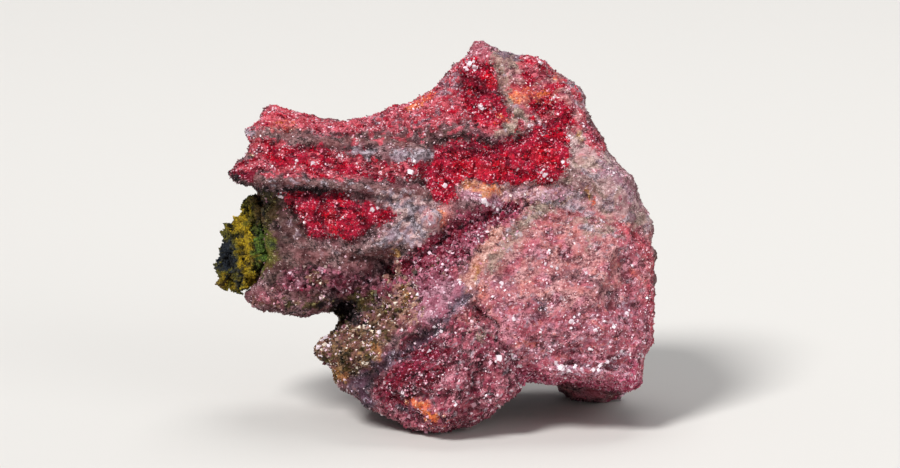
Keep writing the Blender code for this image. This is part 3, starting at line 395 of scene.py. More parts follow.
    ("orange", 1.2, 0.35, 0.8, [(7.4, 38.9), (7.7, 37.8)]),
    ("orange", 1.8, 0.7, 0.55, [(8.8, 39.0), (10.8, 38.8)]),
    ("orange", 0.9, 0.25, 0.7, [(12.0, 40.8), (12.6, 40.4)]),
    ("raspberry", 0.7, 0.7, 1.0, [(8.8, 42.8), (10.2, 42.8), (11.4, 41.9)]),
    ("deepRed", 0.7, 0.3, 1.0, [(8.7, 42.7), (9.4, 42.6)]),
    ("deepRed", 0.7, 0.3, 1.0, [(10.4, 42.1), (11.4, 41.5)]),
    ("silver", 1.1, 0.4, 0.8, [(13.4, 40.2), (14.8, 39.0), (15.3, 37.2)]),
    ("deepRed", 1.6, 0.9, 0.85, [(9.8, 37.2), (12.0, 37.6), (13.2, 36.4), (12.6, 34.8)]),
    ("frost", 1.2, 0.5, 0.8, [(9.3, 35.9), (10.6, 35.0)], 0.5, -0.1),
    ("dusk", 1.2, 0.7, 0.8, [(-10.6, 35.6), (-6.0, 36.0), (-3.4, 36.0), (-1.0, 36.4)], 0.6, 0.0),
    ("frost", 0.9, 0.3, 0.8, [(1.6, 42.4), (2.8, 41.5)], 0.4, -0.1),
    ("frost", 1.0, 0.3, 0.7, [(-0.4, 37.0), (0.6, 36.4), (1.6, 36.4)], 0.4, 0.0),
    ("mauveGrey", 1.4, 0.5, 0.8, [(14.6, 38.0), (14.8, 35.8)]),
    ("magenta", 1.0, 0.4, 0.8, [(15.6, 35.0), (16.8, 33.6)]),
    ("ochre", 1.0, 0.3, 0.7, [(14.7, 34.6), (15.0, 33.4)]),
    ("raspberry", 1.8, 1.2, 0.9, [(1.2, 37.8), (2.6, 36.8), (4.6, 35.4)]),
    ("maroon", 1.2, 0.5, 0.9, [(1.6, 40.8), (3.4, 40.6), (3.8, 39.2)]),
    ("brightRed", 1.0, 0.5, 1.0, [(4.4, 41.0), (4.9, 39.8)]),
    ("coral", 1.6, 0.7, 0.9, [(5.0, 36.0), (6.6, 35.8)]),
    ("orange", 1.4, 0.4, 0.7, [(5.4, 36.2), (6.4, 35.8)]),
    ("greenGrey", 1.3, 0.5, 1.0, [(5.2, 43.2), (5.8, 41.4), (6.5, 39.6), (7.2, 37.6), (8.0, 36.0),
        (7.4, 34.8), (5.4, 34.4)]),
    ("silver", 1.0, 0.4, 0.8, [(5.3, 43.0), (6.5, 39.6), (8.0, 36.2), (7.4, 34.8), (5.4, 34.4)], 0.7, 0.0),
    ("darkMauve", 0.9, 0.45, 1.0, [(2.3, 34.3), (4.6, 33.9), (6.0, 33.2)]),
    ("orange", 1.2, 0.32, 0.9, [(-4.4, 37.4), (-3.2, 38.0), (-2.2, 38.6)]),
    ("coral", 1.4, 0.5, 0.7, [(-5.6, 36.6), (-3.2, 37.8), (-1.6, 38.8)]),
]

# How the sides and the back are coloured: swells of a size that pass a level, with a shift of
# the noise, from a depth on.
backPatches = [
    ("brownGrey", 11.0, -0.02, 3.1, 0.0), ("salmon", 9.0, 0.12, 11.7, 0.5), ("silver", 4.0, 0.16, 15.3, 0.5),
    ("rose", 8.0, 0.16, 23.9, 1.0), ("bedGrey", 6.0, 0.14, 31.3, 0.5), ("plum", 7.0, 0.2, 37.3, 3.0),
    ("tan", 6.0, 0.36, 57.1, 3.0), ("raspberry", 9.0, 0.2, 41.9, 4.0), ("maroon", 9.0, 0.36, 41.9, 5.0),
]

# The fine relief of the face: strokes with a half width and a height, cut in where negative.
strokes = [
    # beds that stand out of the arm, and the shade under them
    ([(-23.2, 34.4), (-17.2, 33.8), (-11.5, 33.4), (-5.8, 33.2), (-2.6, 32.6)], 0.5, 0.35),
    ([(-23.2, 33.4), (-17.2, 32.8), (-11.5, 32.4)], 0.4, -0.3),
    ([(-25.2, 29.4), (-17.2, 28.9), (-11.5, 28.4), (-5.8, 27.9), (-1.0, 27.4)], 0.5, 0.35),
    ([(-22.8, 28.0), (-17.2, 27.7), (-11.5, 27.2), (-7.0, 26.6)], 0.4, -0.8),
    # the crack and the seams of the lower lobe
    ([(2.9, 14.3), (3.6, 13.6), (4.4, 13.2), (5.3, 12.4), (5.3, 10.9)], 0.18, -0.9),
    ([(5.3, 10.9), (6.2, 9.6), (7.4, 8.4), (8.2, 7.2)], 0.3, -0.4),
    ([(2.0, 16.2), (0.0, 14.4), (-1.6, 12.3), (-4.0, 10.6), (-6.1, 9.0), (-9.0, 6.8)], 0.6, -0.35),
    # furrows and swells of the lobe
    ([(-5.6, 8.4), (-3.0, 9.6), (-0.4, 10.4)], 0.4, -0.35),
    ([(-4.6, 6.6), (-1.6, 7.6), (1.4, 7.4), (4.0, 8.6)], 0.4, -0.3),
    ([(-6.6, 4.0), (-3.6, 4.6), (-0.4, 4.4), (2.6, 5.4)], 0.4, -0.3),
    ([(-5.8, 5.4), (-2.6, 6.2), (1.0, 5.8)], 0.6, 0.3),
    ([(0.6, 9.0), (3.4, 9.6), (5.6, 8.2)], 0.6, 0.25),
    # the cleft along the block's foot
    ([(13.2, 8.2), (16.0, 8.1), (19.3, 8.0)], 0.3, -0.7),
    # the crease over the notch
    ([(-11.2, 19.8), (-9.2, 20.0), (-7.6, 19.4), (-6.9, 18.4)], 0.3, -0.6),
    # fuller places: along the valley, in the peak's hollow, beside the crust
    ([(10.5, 27.2), (7.6, 26.9), (4.2, 26.5), (0.6, 25.4), (-1.5, 23.8), (-3.4, 21.8),
      (-5.2, 20.0)], 1.3, 1.6),
    ([(7.6, 25.4), (4.2, 24.4), (0.8, 22.8), (-1.2, 21.4), (-3.2, 20.0)], 1.2, 0.5),
    ([(4.0, 29.0), (8.0, 28.8), (12.4, 29.0)], 0.8, 0.5),
    ([(9.5, 25.4), (9.7, 26.0)], 0.9, 1.2),
    ([(1.8, 41.6), (3.4, 40.6), (5.0, 39.4)], 1.2, 0.7),
    ([(-20.8, 25.0), (-20.6, 21.0), (-21.2, 18.6)], 0.8, 0.5),
    # ledges of the block
    ([(7.0, 22.8), (12.0, 23.6), (18.0, 22.6)], 0.4, 0.2),
    ([(6.0, 15.4), (12.0, 14.8), (21.0, 15.6)], 0.4, 0.2),
]
# Where creases are smoothed away before the relief: strokes with a half width.
calmed = [
    ([(-1.0, 27.0), (2.0, 28.4), (8.0, 28.0), (14.0, 28.6), (14.4, 33.0)], 1.8),
    ([(8.0, 26.4), (12.0, 26.4), (17.0, 27.0), (18.0, 23.6)], 1.8),
    ([(7.6, 26.4), (0.8, 24.4), (-3.2, 21.6), (-5.2, 20.0)], 1.4),
    ([(7.4, 26.4), (9.4, 26.2), (11.0, 26.8)], 2.4),
    ([(-9.0, 26.4), (-5.6, 23.6), (-2.6, 25.0)], 1.8),
]
# Where coarse crystals make the skin lumpy: strokes with a half width and a height.
lumps = [
    ([(7.4, 25.8), (3.4, 23.6), (0.4, 21.6), (-2.0, 19.6), (-4.6, 17.8), (-7.0, 16.0)], 2.4, 1.2),
    ([(-19.0, 16.6), (-15.3, 17.4), (-12.3, 17.0), (-8.0, 16.4)], 1.4, 0.8),
    ([(-14.0, 10.6), (-10.8, 11.4), (-7.0, 13.0)], 2.2, 0.5),
]

skin = {
    "voxel": 0.235, "bedGrowth": 0.4, "soften": 2, "sink": 0.22, "triangles": 196000, "frontLevel": 0.1,
    "smoothing": 0.5, "calmRounds": 90, "calmDepth": 8.0, "cavityRounds": 12, "cavityDepth": 0.2,
    # relief layers: size, stretch along the streaks, height, and how much of them the block has
    "layers": [(2.6, 2.0, 0.3), (1.1, 1.8, 0.2), (0.5, 1.4, 0.3)], "layerShift": 31.0, "blockShare": 0.7,
    # facets: width, height. What makes lumps rough: size, shift, height
    "chips": [(1.5, 0.06)], "lumpLayers": [(0.8, 91.0, 0.6), (0.42, 97.0, 0.5)],
    # how the edges of colours wander: size, two shifts, amount
    "warps": [(1.3, 5.0, 9.0, 0.55), (0.6, 15.0, 19.0, 0.6)],
    "blotchStretch": 1.5, "blotchEdge": 0.22,
    "ragged": [(1.3, 63.0, 0.35), (0.6, 67.0, 0.25)], "backEdge": 0.2, "backFade": 3.0,
    # what fades a colour towards its other hue, and what lightens and darkens it
    "drift": {"scale": 1.1, "stretch": 1.5, "shift": 71.0}, "driftMiddle": 0.45, "driftGain": 1.6,
    "toneLayers": [(0.7, 1.5, 0.6), (0.36, 1.3, 1.1)], "toneShift": 81.0,
}
# Facets: how the noise of the next size is shifted, and how much they tilt and swell.
facets = {"shift": (7.3, 2.1, 4.9), "seed": 57.0, "tilt": 1.5, "swell": 0.4}
# The skin's finest colouring: noises as size and how much they count, and the grain's stretch
# and turn. A colour spreads from its weight times spread, less a level, on a wobbling edge.
finest = {
    "fine": (0.15, 3.6), "grain": (0.18, 2.6), "middling": (0.36, 1.6), "cell": (0.17, 0.5),
    # sunkShade darkens the skin in hollows and lightens it on ridges: painted shade and painted highlight
    "grainStretch": 3.0, "grainTurn": 40.0, "middle": 0.52, "sunkShade": 0.25, "hueShare": 0.6,
    "spread": 1.9, "level": 0.45, "edge": (0.5, 1.1), "cellEdge": 0.5,
    # sparks: pale specks on the skin, partly the ore's own and partly painted glints, fewer where sunk
    "sparkSize": 0.21, "sparkLevel": 0.965, "sparkTone": 0.06, "sparkSharpness": 30.0, "sparkSunk": 0.9,
    # the hollow colour, level and share: painted shade laid into the deepest hollows
    "hollowShadeColour": (44, 14, 22), "hollowShadeLevel": 0.3, "hollowShadeShare": 0.6,
    "roughness": 0.62, "sparkShine": 0.35, "specular": 0.3, "bumpDepth": 0.18, "bumpStrength": 0.8,
    "fineBump": 0.5, "grainBump": 0.5, "middlingBump": 0.9, "cellBump": 0.3, "cellBumpSize": 0.2,
}
# Where the face gives way to the sides: by how much the surface turns to the front, and in mm.
facing = {"least": -0.12, "fade": 0.3, "depth": 3.0, "depthFade": 3.0}
# Where the face's regions begin, in mm, each with how far the change takes.
regionEdges = {
    "blockLeft": (4.0, 3.0), "blockTop": (31.0, 4.0), "armFoot": (26.0, 3.0), "leftFaceRight": (-7.0, 3.0),
    "leftFaceFoot": (14.0, 2.0),
}
# Which way the streaks and the crystals on them run in each region, in degrees up to the right.
streakTurns = {"arm": -3.0, "block": 20.0, "valley": 44.0, "leftFace": -36.0}
grainTurns = {"arm": 20.0, "block": 48.0, "valley": 54.0, "leftFace": -40.0}
# Bites out of the outline, seen from in front: across, up, radius, depth.
bites = [
    (-24.6, 33.2, 1.5, 0.8), (-26.4, 27.8, 1.7, 0.7), (-25.6, 31.2, 1.0, 0.6), (1.0, 44.2, 1.4, 0.6),
    (5.6, 45.0, 1.3, 0.4), (13.6, 42.6, 2.2, 0.6), (10.4, 44.2, 1.4, 0.4), (-26.2, 29.4, 0.6, -0.4),
]
# How near a node's loose corners have to be to become one, in mm.
mergeDistance = 0.01


def select(piece):
    bpy.ops.object.select_all(action="DESELECT")
    piece.select_set(True)
    bpy.context.view_layer.objects.active = piece


def edited(piece, *steps):
    # runs edit-mode operators on all of a piece
    select(piece)
    bpy.ops.object.mode_set(mode="EDIT")
    bpy.ops.mesh.select_all(action="SELECT")
    for step in steps:
        step()
    bpy.ops.object.mode_set(mode="OBJECT")


def modified(piece, kind, **settings):
    select(piece)
    modifier = piece.modifiers.new(kind.title(), kind)
    for name, value in settings.items():
        setattr(modifier, name, value)
    bpy.ops.object.modifier_apply(modifier=modifier.name)


def copyOfNode(node, name, growth=0.0):
    # a merged copy of a node's loose triangles, grown by some mm
    piece = bpy.data.objects.new(name, frame["nodes"][node].data.copy())
    bpy.context.scene.collection.objects.link(piece)
    piece.data.materials.clear()
    edited(
        piece,
        lambda: bpy.ops.mesh.remove_doubles(threshold=mergeDistance * mm),
        lambda: bpy.ops.mesh.normals_make_consistent(inside=False),
    )
    if growth:
        modified(piece, "DISPLACE", strength=growth * mm, mid_level=0.0)
    return piece


def remeshed(piece, voxel):
    modified(piece, "REMESH", mode="VOXEL", voxel_size=voxel * mm)


def readVertices(piece, what="co"):
    values = np.empty(len(piece.data.vertices) * 3)
    piece.data.vertices.foreach_get(what, values)
    return values.reshape(-1, 3)


def pushOut(piece, heights):
    # moves each vertex along its normal, by heights in mm, and none of them below the floor
    places = readVertices(piece) + readVertices(piece, "normal") * heights[:, None] * mm
    places[:, 2] = np.maximum(places[:, 2], 0.0)
    piece.data.vertices.foreach_set("co", places.ravel())
    piece.data.update()


def edgeDistance(places, path):
    path = np.array(path)
    best = np.full(len(places), np.inf)
    for start, end in zip(path[:-1], path[1:]):
        along = end - start
        share = np.clip((places - start) @ along / (along @ along), 0, 1)
        best = np.minimum(best, np.linalg.norm(places - start - share[:, None] * along, axis=1))
    return best


def outlineDepth(places, outline):
    # how far inside a closed outline each place lies, negative outside
    outline = np.array(outline)
    inside = np.zeros(len(places), bool)
    for start, end in zip(outline, np.roll(outline, -1, axis=0)):
        spans = (start[1] > places[:, 1]) != (end[1] > places[:, 1])
        rise = end[1] - start[1]
        crossing = start[0] + (places[:, 1] - start[1]) * (end[0] - start[0]) / (rise or 1.0)
        inside ^= spans & (places[:, 0] < crossing)
    edge = edgeDistance(places, np.vstack([outline, outline[:1]]))
    return np.where(inside, edge, -edge)


def smoothStep(value):
    share = np.clip(value, 0, 1)
    return share * share * (3 - 2 * share)


def nearness(distance, reach):
    # 1 up to half of the reach, 0 from one and a half times the reach
    return smoothStep(1.5 - distance / reach)


def blend(low, high, share):
    return np.asarray(low) * (1 - share) + np.asarray(high) * share


def swell(places, scale, shift):
    # soft noise at places given in mm
    offset = Vector((shift, -shift, shift * 0.5))
    return np.array([noise.noise(Vector(place) / scale + offset) for place in places])


def swells(places, layers):
    return sum(height * swell(places, size, shift) for size, shift, height in layers)


def regionShares(face):
    def past(value, edge):
        return smoothStep((value - regionEdges[edge][0]) / regionEdges[edge][1])

    def before(value, edge):
        return smoothStep((regionEdges[edge][0] - value) / regionEdges[edge][1])

    across, up = face[:, 0], face[:, 2]
    right = past(across, "blockLeft") * before(up, "blockTop")
    high = past(up, "armFoot") * (1 - right)
    left = before(across, "leftFaceRight") * past(up, "leftFaceFoot") * (1 - high - right)
    return {"arm": high, "block": right, "leftFace": left, "valley": 1 - high - right - left}


def streaked(face, scale, stretch, shift):
    # soft noise drawn out along each region's streaks
    across, up = face[:, 0], face[:, 2]
    found = np.zeros(len(face))
    for region, share in regionShares(face).items():
        turn = math.radians(streakTurns[region])
        turned = face.copy()
        turned[:, 0] = (across * math.cos(turn) + up * math.sin(turn)) / stretch
        turned[:, 2] = up * math.cos(turn) - across * math.sin(turn)
        found += share * swell(turned, scale, shift)
    return found


def streakLayers(face, layers, firstShift):
    # one noise for each layer's size, stretch and height
    for number, (size, stretch, height) in enumerate(layers):
        yield height, streaked(face, size, stretch, firstShift + 10 * number)


def frontShare(face, normals):
    # 1 on the crystal-bearing face, 0 on the sides and the back
    towardsFace = -(normals[:, 1] * leanCos - normals[:, 2] * leanSin)
    turned = smoothStep((towardsFace - facing["least"]) / facing["fade"])
    return turned * smoothStep((facing["depth"] - face[:, 1]) / facing["depthFade"])


def firstOnly(names, count):
    # weights that have the first colour everywhere and no other
    weights = {name: np.zeros(count) for name in names}
    weights[next(iter(names))][:] = 1.0
    return weights


def layCoats(weights, face, front, warps, areas, lines):
    # adds the coats to the weights of their colours, with edges that wander
    flat = face[:, [0, 2]] + sum(
        np.column_stack([swell(face, size, first), swell(face, size, second)]) * amount
        for size, first, second, amount in warps
    )

    def lay(depth, paint, fade, most, *blotch):
        share = smoothStep(0.5 + depth / fade) * front * most
        if blotch:
            size, level = blotch
            near = share > 0
            spots = streaked(face[near], size, skin["blotchStretch"], size * 7 + len(paint))
            share[near] *= smoothStep((spots - level) / skin["blotchEdge"])
        weights[paint] = np.maximum(weights[paint], share)

    for outline, coats in areas:
        depth = outlineDepth(flat, outline)
        for coat in coats:
            lay(depth, *coat)
    for paint, fade, halfWidth, most, path, *blotch in lines:
        lay(halfWidth - edgeDistance(flat, path), paint, fade, most, *blotch)


def paintWeights(piece):
    # how much of each colour lies at each place of the skin
    face = toFace(readVertices(piece))
    front = frontShare(face, readVertices(piece, "normal"))
    weights = firstOnly(paints, len(face))
    ragged = swells(face, skin["ragged"])
    for paint, size, level, shift, start in backPatches:
        share = smoothStep((swell(face, size, shift) + ragged - level) / skin["backEdge"]) * (1 - front)
        share *= smoothStep((face[:, 1] - start) / skin["backFade"])
        weights[paint] = np.maximum(weights[paint], share)
    layCoats(weights, face, front, skin["warps"], areas, lines)
    return weights, front


def flecked(shade, drift, isFleck, dark, light, hue, fleck):
    # a grain's colour, as the skin mixes it
    tone = blend(colour(*dark), colour(*light), shade)
    tone = tone + (np.array(colour(*hue)) - tone) * drift * finest["hueShare"]
    return np.where(isFleck, np.array(colour(*fleck)), tone)


def chipped(places, chips):
    # heights of tilted facets, coarse to fine
    heights = np.zeros(len(places))
    for number, (width, amount) in enumerate(chips):
        for index, place in enumerate(places):
            at = Vector(place) / width + Vector(facets["shift"]) * number
            middle = noise.voronoi(at)[1][0]
            tilt = noise.cell_vector(middle * facets["seed"]).dot(at - middle)
            heights[index] += amount * (facets["tilt"] * tilt + facets["swell"] * noise.noise(at))
    return heights


def takeBites(heights, face, cuts):
    for across, up, radius, depth in cuts:
        heights -= depth * nearness(np.hypot(face[:, 0] - across, face[:, 2] - up), radius)


def hollowness(piece):
    # how far each vertex lies under its surroundings, 0 to 1, and minus that on ridges
    places = readVertices(piece)
    edges = np.empty(len(piece.data.edges) * 2, int)
    piece.data.edges.foreach_get("vertices", edges)
    a, b = edges.reshape(-1, 2).T
    count = np.bincount(a, minlength=len(places)) + np.bincount(b, minlength=len(places))
    mean = places.copy()
    for _ in range(skin["cavityRounds"]):
        mean = np.column_stack([
            np.bincount(a, mean[b, axis], len(places)) + np.bincount(b, mean[a, axis], len(places))
            for axis in range(3)
        ]) / count[:, None]
    under = ((mean - places) * readVertices(piece, "normal")).sum(axis=1) / mm
    return np.clip(under / skin["cavityDepth"], -1, 1)


def calmCreases(rock):
    face = toFace(readVertices(rock))
    share = np.zeros(len(face))
    for path, halfWidth in calmed:
        share = np.maximum(share, nearness(edgeDistance(face[:, [0, 2]], path), halfWidth))
    share *= face[:, 1] < skin["calmDepth"]
    group = rock.vertex_groups.new(name="calm")
    for level in np.arange(1, 11) / 10:
        group.add(np.flatnonzero(np.round(share, 1) == level).tolist(), float(level), "REPLACE")
    smooth = {"factor": skin["smoothing"], "iterations": skin["calmRounds"], "vertex_group": group.name}
    modified(rock, "SMOOTH", **smooth)


def thinOut(rock):
    # fewer triangles, where the sides and the back are
    atFront = frontShare(toFace(readVertices(rock)), readVertices(rock, "normal")) >= skin["frontLevel"]
    group = rock.vertex_groups.new(name="behind")
    group.add(np.flatnonzero(~atFront).tolist(), 1.0, "REPLACE")
    group.add(np.flatnonzero(atFront).tolist(), 0.0, "REPLACE")
    ratio = skin["triangles"] / (2 * len(rock.data.polygons))
    modified(rock, "DECIMATE", ratio=ratio, vertex_group=group.name, use_collapse_triangulate=True)
    rock.vertex_groups.clear()


def carveRelief(rock):
    face = toFace(readVertices(rock))
    front = frontShare(face, readVertices(rock, "normal"))
    relief = np.zeros(len(face))
    rough = swells(face, skin["lumpLayers"])
    for path, halfWidth, height in lumps:
        relief += height * rough * nearness(edgeDistance(face[:, [0, 2]], path), halfWidth) * front
    for path, halfWidth, height in strokes:
        relief += height * np.exp(-((edgeDistance(face[:, [0, 2]], path) / halfWidth) ** 2)) * front
    calm = 1 - (1 - skin["blockShare"]) * regionShares(face)["block"] * front
    for height, layer in streakLayers(face, skin["layers"], skin["layerShift"]):
        relief += calm * height * layer
    relief += chipped(face, skin["chips"]) - skin["sink"]
    takeBites(relief, face, bites)
    pushOut(rock, relief)


def buildSkin():
    # the rock and the two druse sheets, grown together, as one fine skin
    rock = copyOfNode("matrix_rock", "rock_skin")
    druseSheets = [
        copyOfNode(node, node + "_bed", skin["bedGrowth"]) for node in ("upper_red_druse", "left_red_druse")
    ]
    select(rock)
    for sheet in druseSheets:
        sheet.select_set(True)
    bpy.ops.object.join()
    remeshed(rock, skin["voxel"])
    modified(rock, "SMOOTH", factor=skin["smoothing"], iterations=skin["soften"])
    calmCreases(rock)
    thinOut(rock)
    carveRelief(rock)
    return rock


def storeWeights(piece, weights):
    for name, values in weights.items():
        layer = piece.data.attributes.new(name, "FLOAT", "POINT")
        layer.data.foreach_set("value", values.astype(np.float32))


class Wire:
    # one shader value, which arithmetic turns into Math nodes
    def __init__(self, graph, socket):
        self.graph, self.socket = graph, socket

    def compute(self, operation, *values, clamp=False):
        return self.graph.add("ShaderNodeMath", {"operation": operation, "use_clamp": clamp}, values)

    def __add__(self, other):
        return self.compute("ADD", self, other)

    def __sub__(self, other):
        return self.compute("SUBTRACT", self, other)

    def __rsub__(self, other):
        return self.compute("SUBTRACT", other, self)

    def __mul__(self, other):
        return self.compute("MULTIPLY", self, other)

    __radd__, __rmul__ = __add__, __mul__

    def held(self):
        # kept between 0 and 1
        return self.compute("ADD", self, 0.0, clamp=True)


class Graph:
    # a material's nodes
    def __init__(self, name):
        self.material = bpy.data.materials.new(name)
        self.material.use_nodes = True
        self.tree = self.material.node_tree
        self.surface = self.tree.nodes["Principled BSDF"]

    def add(self, kind, settings=None, inputs=(), output=0):
        node = self.tree.nodes.new(kind)
        for name, value in (settings or {}).items():
            setattr(node, name, value)
        pairs = inputs.items() if isinstance(inputs, dict) else enumerate(inputs)
        for key, value in pairs:
            self.plug(node.inputs[key], value)
        return Wire(self, node.outputs[output])

    def plug(self, socket, value):
        if isinstance(value, Wire):
            self.tree.links.new(value.socket, socket)
        else:
            socket.default_value = value

    def mix(self, share, low, high):
        return self.add("ShaderNodeMix", {"data_type": "RGBA"}, {0: share, 6: low, 7: high}, output=2)

    def attribute(self, name, output="Fac"):
        return self.add("ShaderNodeAttribute", {"attribute_name": name}, output=output)

    def place(self):
        return self.add("ShaderNodeTexCoord", output="Object")

    def noise(self, size, detail=3.0, place=None):
        place = place or self.place()
        values = {"Vector": place, "Scale": 1 / (size * mm), "Detail": detail, "Roughness": 0.6}
        return self.add("ShaderNodeTexNoise", {}, values, output="Fac")

    def streaks(self, size, stretch, turn):
        # fine noise drawn out along one direction of the face
        values = {"Vector": self.place(), "Rotation": (0.0, math.radians(turn), 0.0),
                  "Scale": (1 / stretch, 1.0, 1.0)}
        return self.noise(size, place=self.add("ShaderNodeMapping", {}, values))

    def cells(self, size, output="Distance"):
        values = {"Vector": self.place(), "Scale": 1 / (size * mm)}
        return self.add("ShaderNodeTexVoronoi", {}, values, output=output)

    def cellValues(self, size, channel):
        # one random value for each cell
        return self.add("ShaderNodeSeparateColor", {}, [self.cells(size, output="Color")], output=channel)

    def bump(self, height, depth, strength):
        values = {"Height": height, "Distance": depth * mm, "Strength": strength}
        self.plug(self.surface.inputs["Normal"], self.add("ShaderNodeBump", {}, values, output="Normal"))

    def set(self, **values):
        for name, value in values.items():
            self.plug(self.surface.inputs[name.replace("_", " ")], value)


def skinFields(piece):
    # how far each place drifts to its colour's other hue, and how light it is
    face = toFace(readVertices(piece))
    drift = smoothStep(skin["driftMiddle"] + skin["driftGain"] * streaked(face, **skin["drift"]))
    tones = streakLayers(face, skin["toneLayers"], skin["toneShift"])
    return drift, sum(height * layer for height, layer in tones)


def skinMaterial():
    graph = Graph("ore_skin")
    cavity, drift, tone = (graph.attribute(name) for name in ("cavity", "drift", "tone"))
    (fineSize, fineShare), (grainSize, grainShare) = finest["fine"], finest["grain"]
    (middleSize, middleShare), (cellSize, cellShare) = finest["middling"], finest["cell"]
    (edgeSize, edgeShare), cellEdge = finest["edge"], finest["cellEdge"]
    fine, middling, edge = graph.noise(fineSize), graph.noise(middleSize, 2.0), graph.noise(edgeSize, 4.0)
    grain = graph.streaks(grainSize, finest["grainStretch"], finest["grainTurn"])
    cell, spark = graph.cellValues(cellSize, "Red"), graph.cellValues(finest["sparkSize"], "Green")
    mottle = (fine - 0.5) * fineShare + (grain - 0.5) * grainShare + (middling - 0.5) * middleShare + tone
    # less cavity: painted shade in hollows and painted highlight on ridges
    mottle = mottle + (cell - 0.5) * cellShare + finest["middle"] - cavity * finest["sunkShade"]
    mottle = mottle.held()
    # pale specks, partly the ore's own and partly painted glints, kept out of hollows
    fleckAndGlintMask = spark - finest["sparkLevel"] + tone * finest["sparkTone"]
    fleckAndGlintMask = (fleckAndGlintMask * finest["sparkSharpness"]).held() * (finest["sparkSunk"] - cavity).held()
    base = None
    for name, (dark, light, hue, fleck) in paints.items():
        here = graph.mix(mottle, colour(*dark), colour(*light))
        here = graph.mix(drift * finest["hueShare"], here, colour(*hue))
        here = graph.mix(fleckAndGlintMask, here, colour(*fleck))
        if base is None:
            base = here
            continue
        share = graph.attribute(name) * finest["spread"] - finest["level"]
        share = share + (edge - 0.5) * edgeShare + (cell - 0.5) * cellEdge
        base = graph.mix(share.held(), base, here)
    # painted shade: the hollow colour laid into deep hollows
    hollow = ((cavity - finest["hollowShadeLevel"]) * finest["hollowShadeShare"]).held()
    graph.set(
        Base_Color=graph.mix(hollow, base, colour(*finest["hollowShadeColour"])),
        Roughness=finest["roughness"] - fleckAndGlintMask * finest["sparkShine"],
        Specular_IOR_Level=finest["specular"],
    )
    height = fine * finest["fineBump"] + grain * finest["grainBump"] + middling * finest["middlingBump"]
    height = height + graph.cells(finest["cellBumpSize"]) * finest["cellBump"]
    graph.bump(height, finest["bumpDepth"], finest["bumpStrength"])
    return graph.material


# What all small crystals share: how far each direction is stretched, the middle of their shades and
# how much darker they are in hollows as painted shade, where and how sharply they change to another
# colour, how strongly small sizes are preferred, how high they stand by their size, how many of those
# that the face has stay on a coloured place of the back, a clump's noise, and their bake cells.
crystals = {
    "stretch": (0.6, 1.25), "middle": 0.54, "sunkShade": 0.25, "edge": (0.2, 0.8), "edgeSharpness": 4,
    "smallness": 1.8, "standing": 0.08, "backShare": 0.4, "clumpShift": 47.0, "clumpEdge": 0.3,
    "clumpGain": 2, "bakeReach": 0.35,
    "spikeRadius": 0.55, "spikeLength": 0.9, "cubeSize": 0.8, "cornerCut": 0.2,
}
spikeSides = {"shard": 3, "spike": 4}


def grainMaterial(name):
    # the material of a finish, made once
    if name not in bpy.data.materials:
        graph = Graph(name)
        roughness, ior = finishes[name]
        tint = graph.attribute("grainColour", output="Color")
        graph.set(Base_Color=tint, Roughness=roughness, IOR=ior)
    return bpy.data.materials[name]


def crystalShape(kind):
    # one crystal of unit size: a three- or four-sided spike, a cube, or a cube with cut corners
    if kind in spikeSides:
        bpy.ops.mesh.primitive_cone_add(
            vertices=spikeSides[kind], radius1=crystals["spikeRadius"], depth=crystals["spikeLength"])
    else:
        bpy.ops.mesh.primitive_cube_add(size=crystals["cubeSize"])
    shape = bpy.context.object
    steps = [lambda: bpy.ops.mesh.quads_convert_to_tris()]
    if kind == "cutCube":
        cut = {"offset": crystals["cornerCut"], "segments": 1, "affect": "VERTICES"}
        steps.insert(0, lambda: bpy.ops.mesh.bevel(**cut))
    edited(shape, *steps)
    corners = readVertices(shape)
    faces = np.array([list(face.vertices) for face in shape.data.polygons])
    bpy.data.objects.remove(shape)
    return corners, faces


def unitRows(rows):
    return rows / np.linalg.norm(rows, axis=1)[:, None]


def randomTurns(count):
    # evenly spread rotation matrices, from random quaternions
    w, x, y, z = unitRows(dice.normal(size=(count, 4))).T
    return np.array([
        [1 - 2 * (y * y + z * z), 2 * (x * y - w * z), 2 * (x * z + w * y)],
        [2 * (x * y + w * z), 1 - 2 * (x * x + z * z), 2 * (y * z - w * x)],
        [2 * (x * z - w * y), 2 * (y * z + w * x), 1 - 2 * (x * x + y * y)],
    ]).transpose(2, 0, 1)


def streakedTurns(places, jitter):
    # rotation matrices that lay each crystal's length near its region's streaks
    turns = sum(
        share * math.radians(grainTurns[region]) for region, share in regionShares(toFace(places)).items()
    )
    along = np.column_stack([np.cos(turns), np.sin(turns) * leanSin, np.sin(turns) * leanCos])
    along = unitRows(along + dice.normal(0, jitter, along.shape))
    across = unitRows(np.cross(along, dice.normal(size=along.shape)))
    return np.stack([across, np.cross(along, across), along], axis=2)


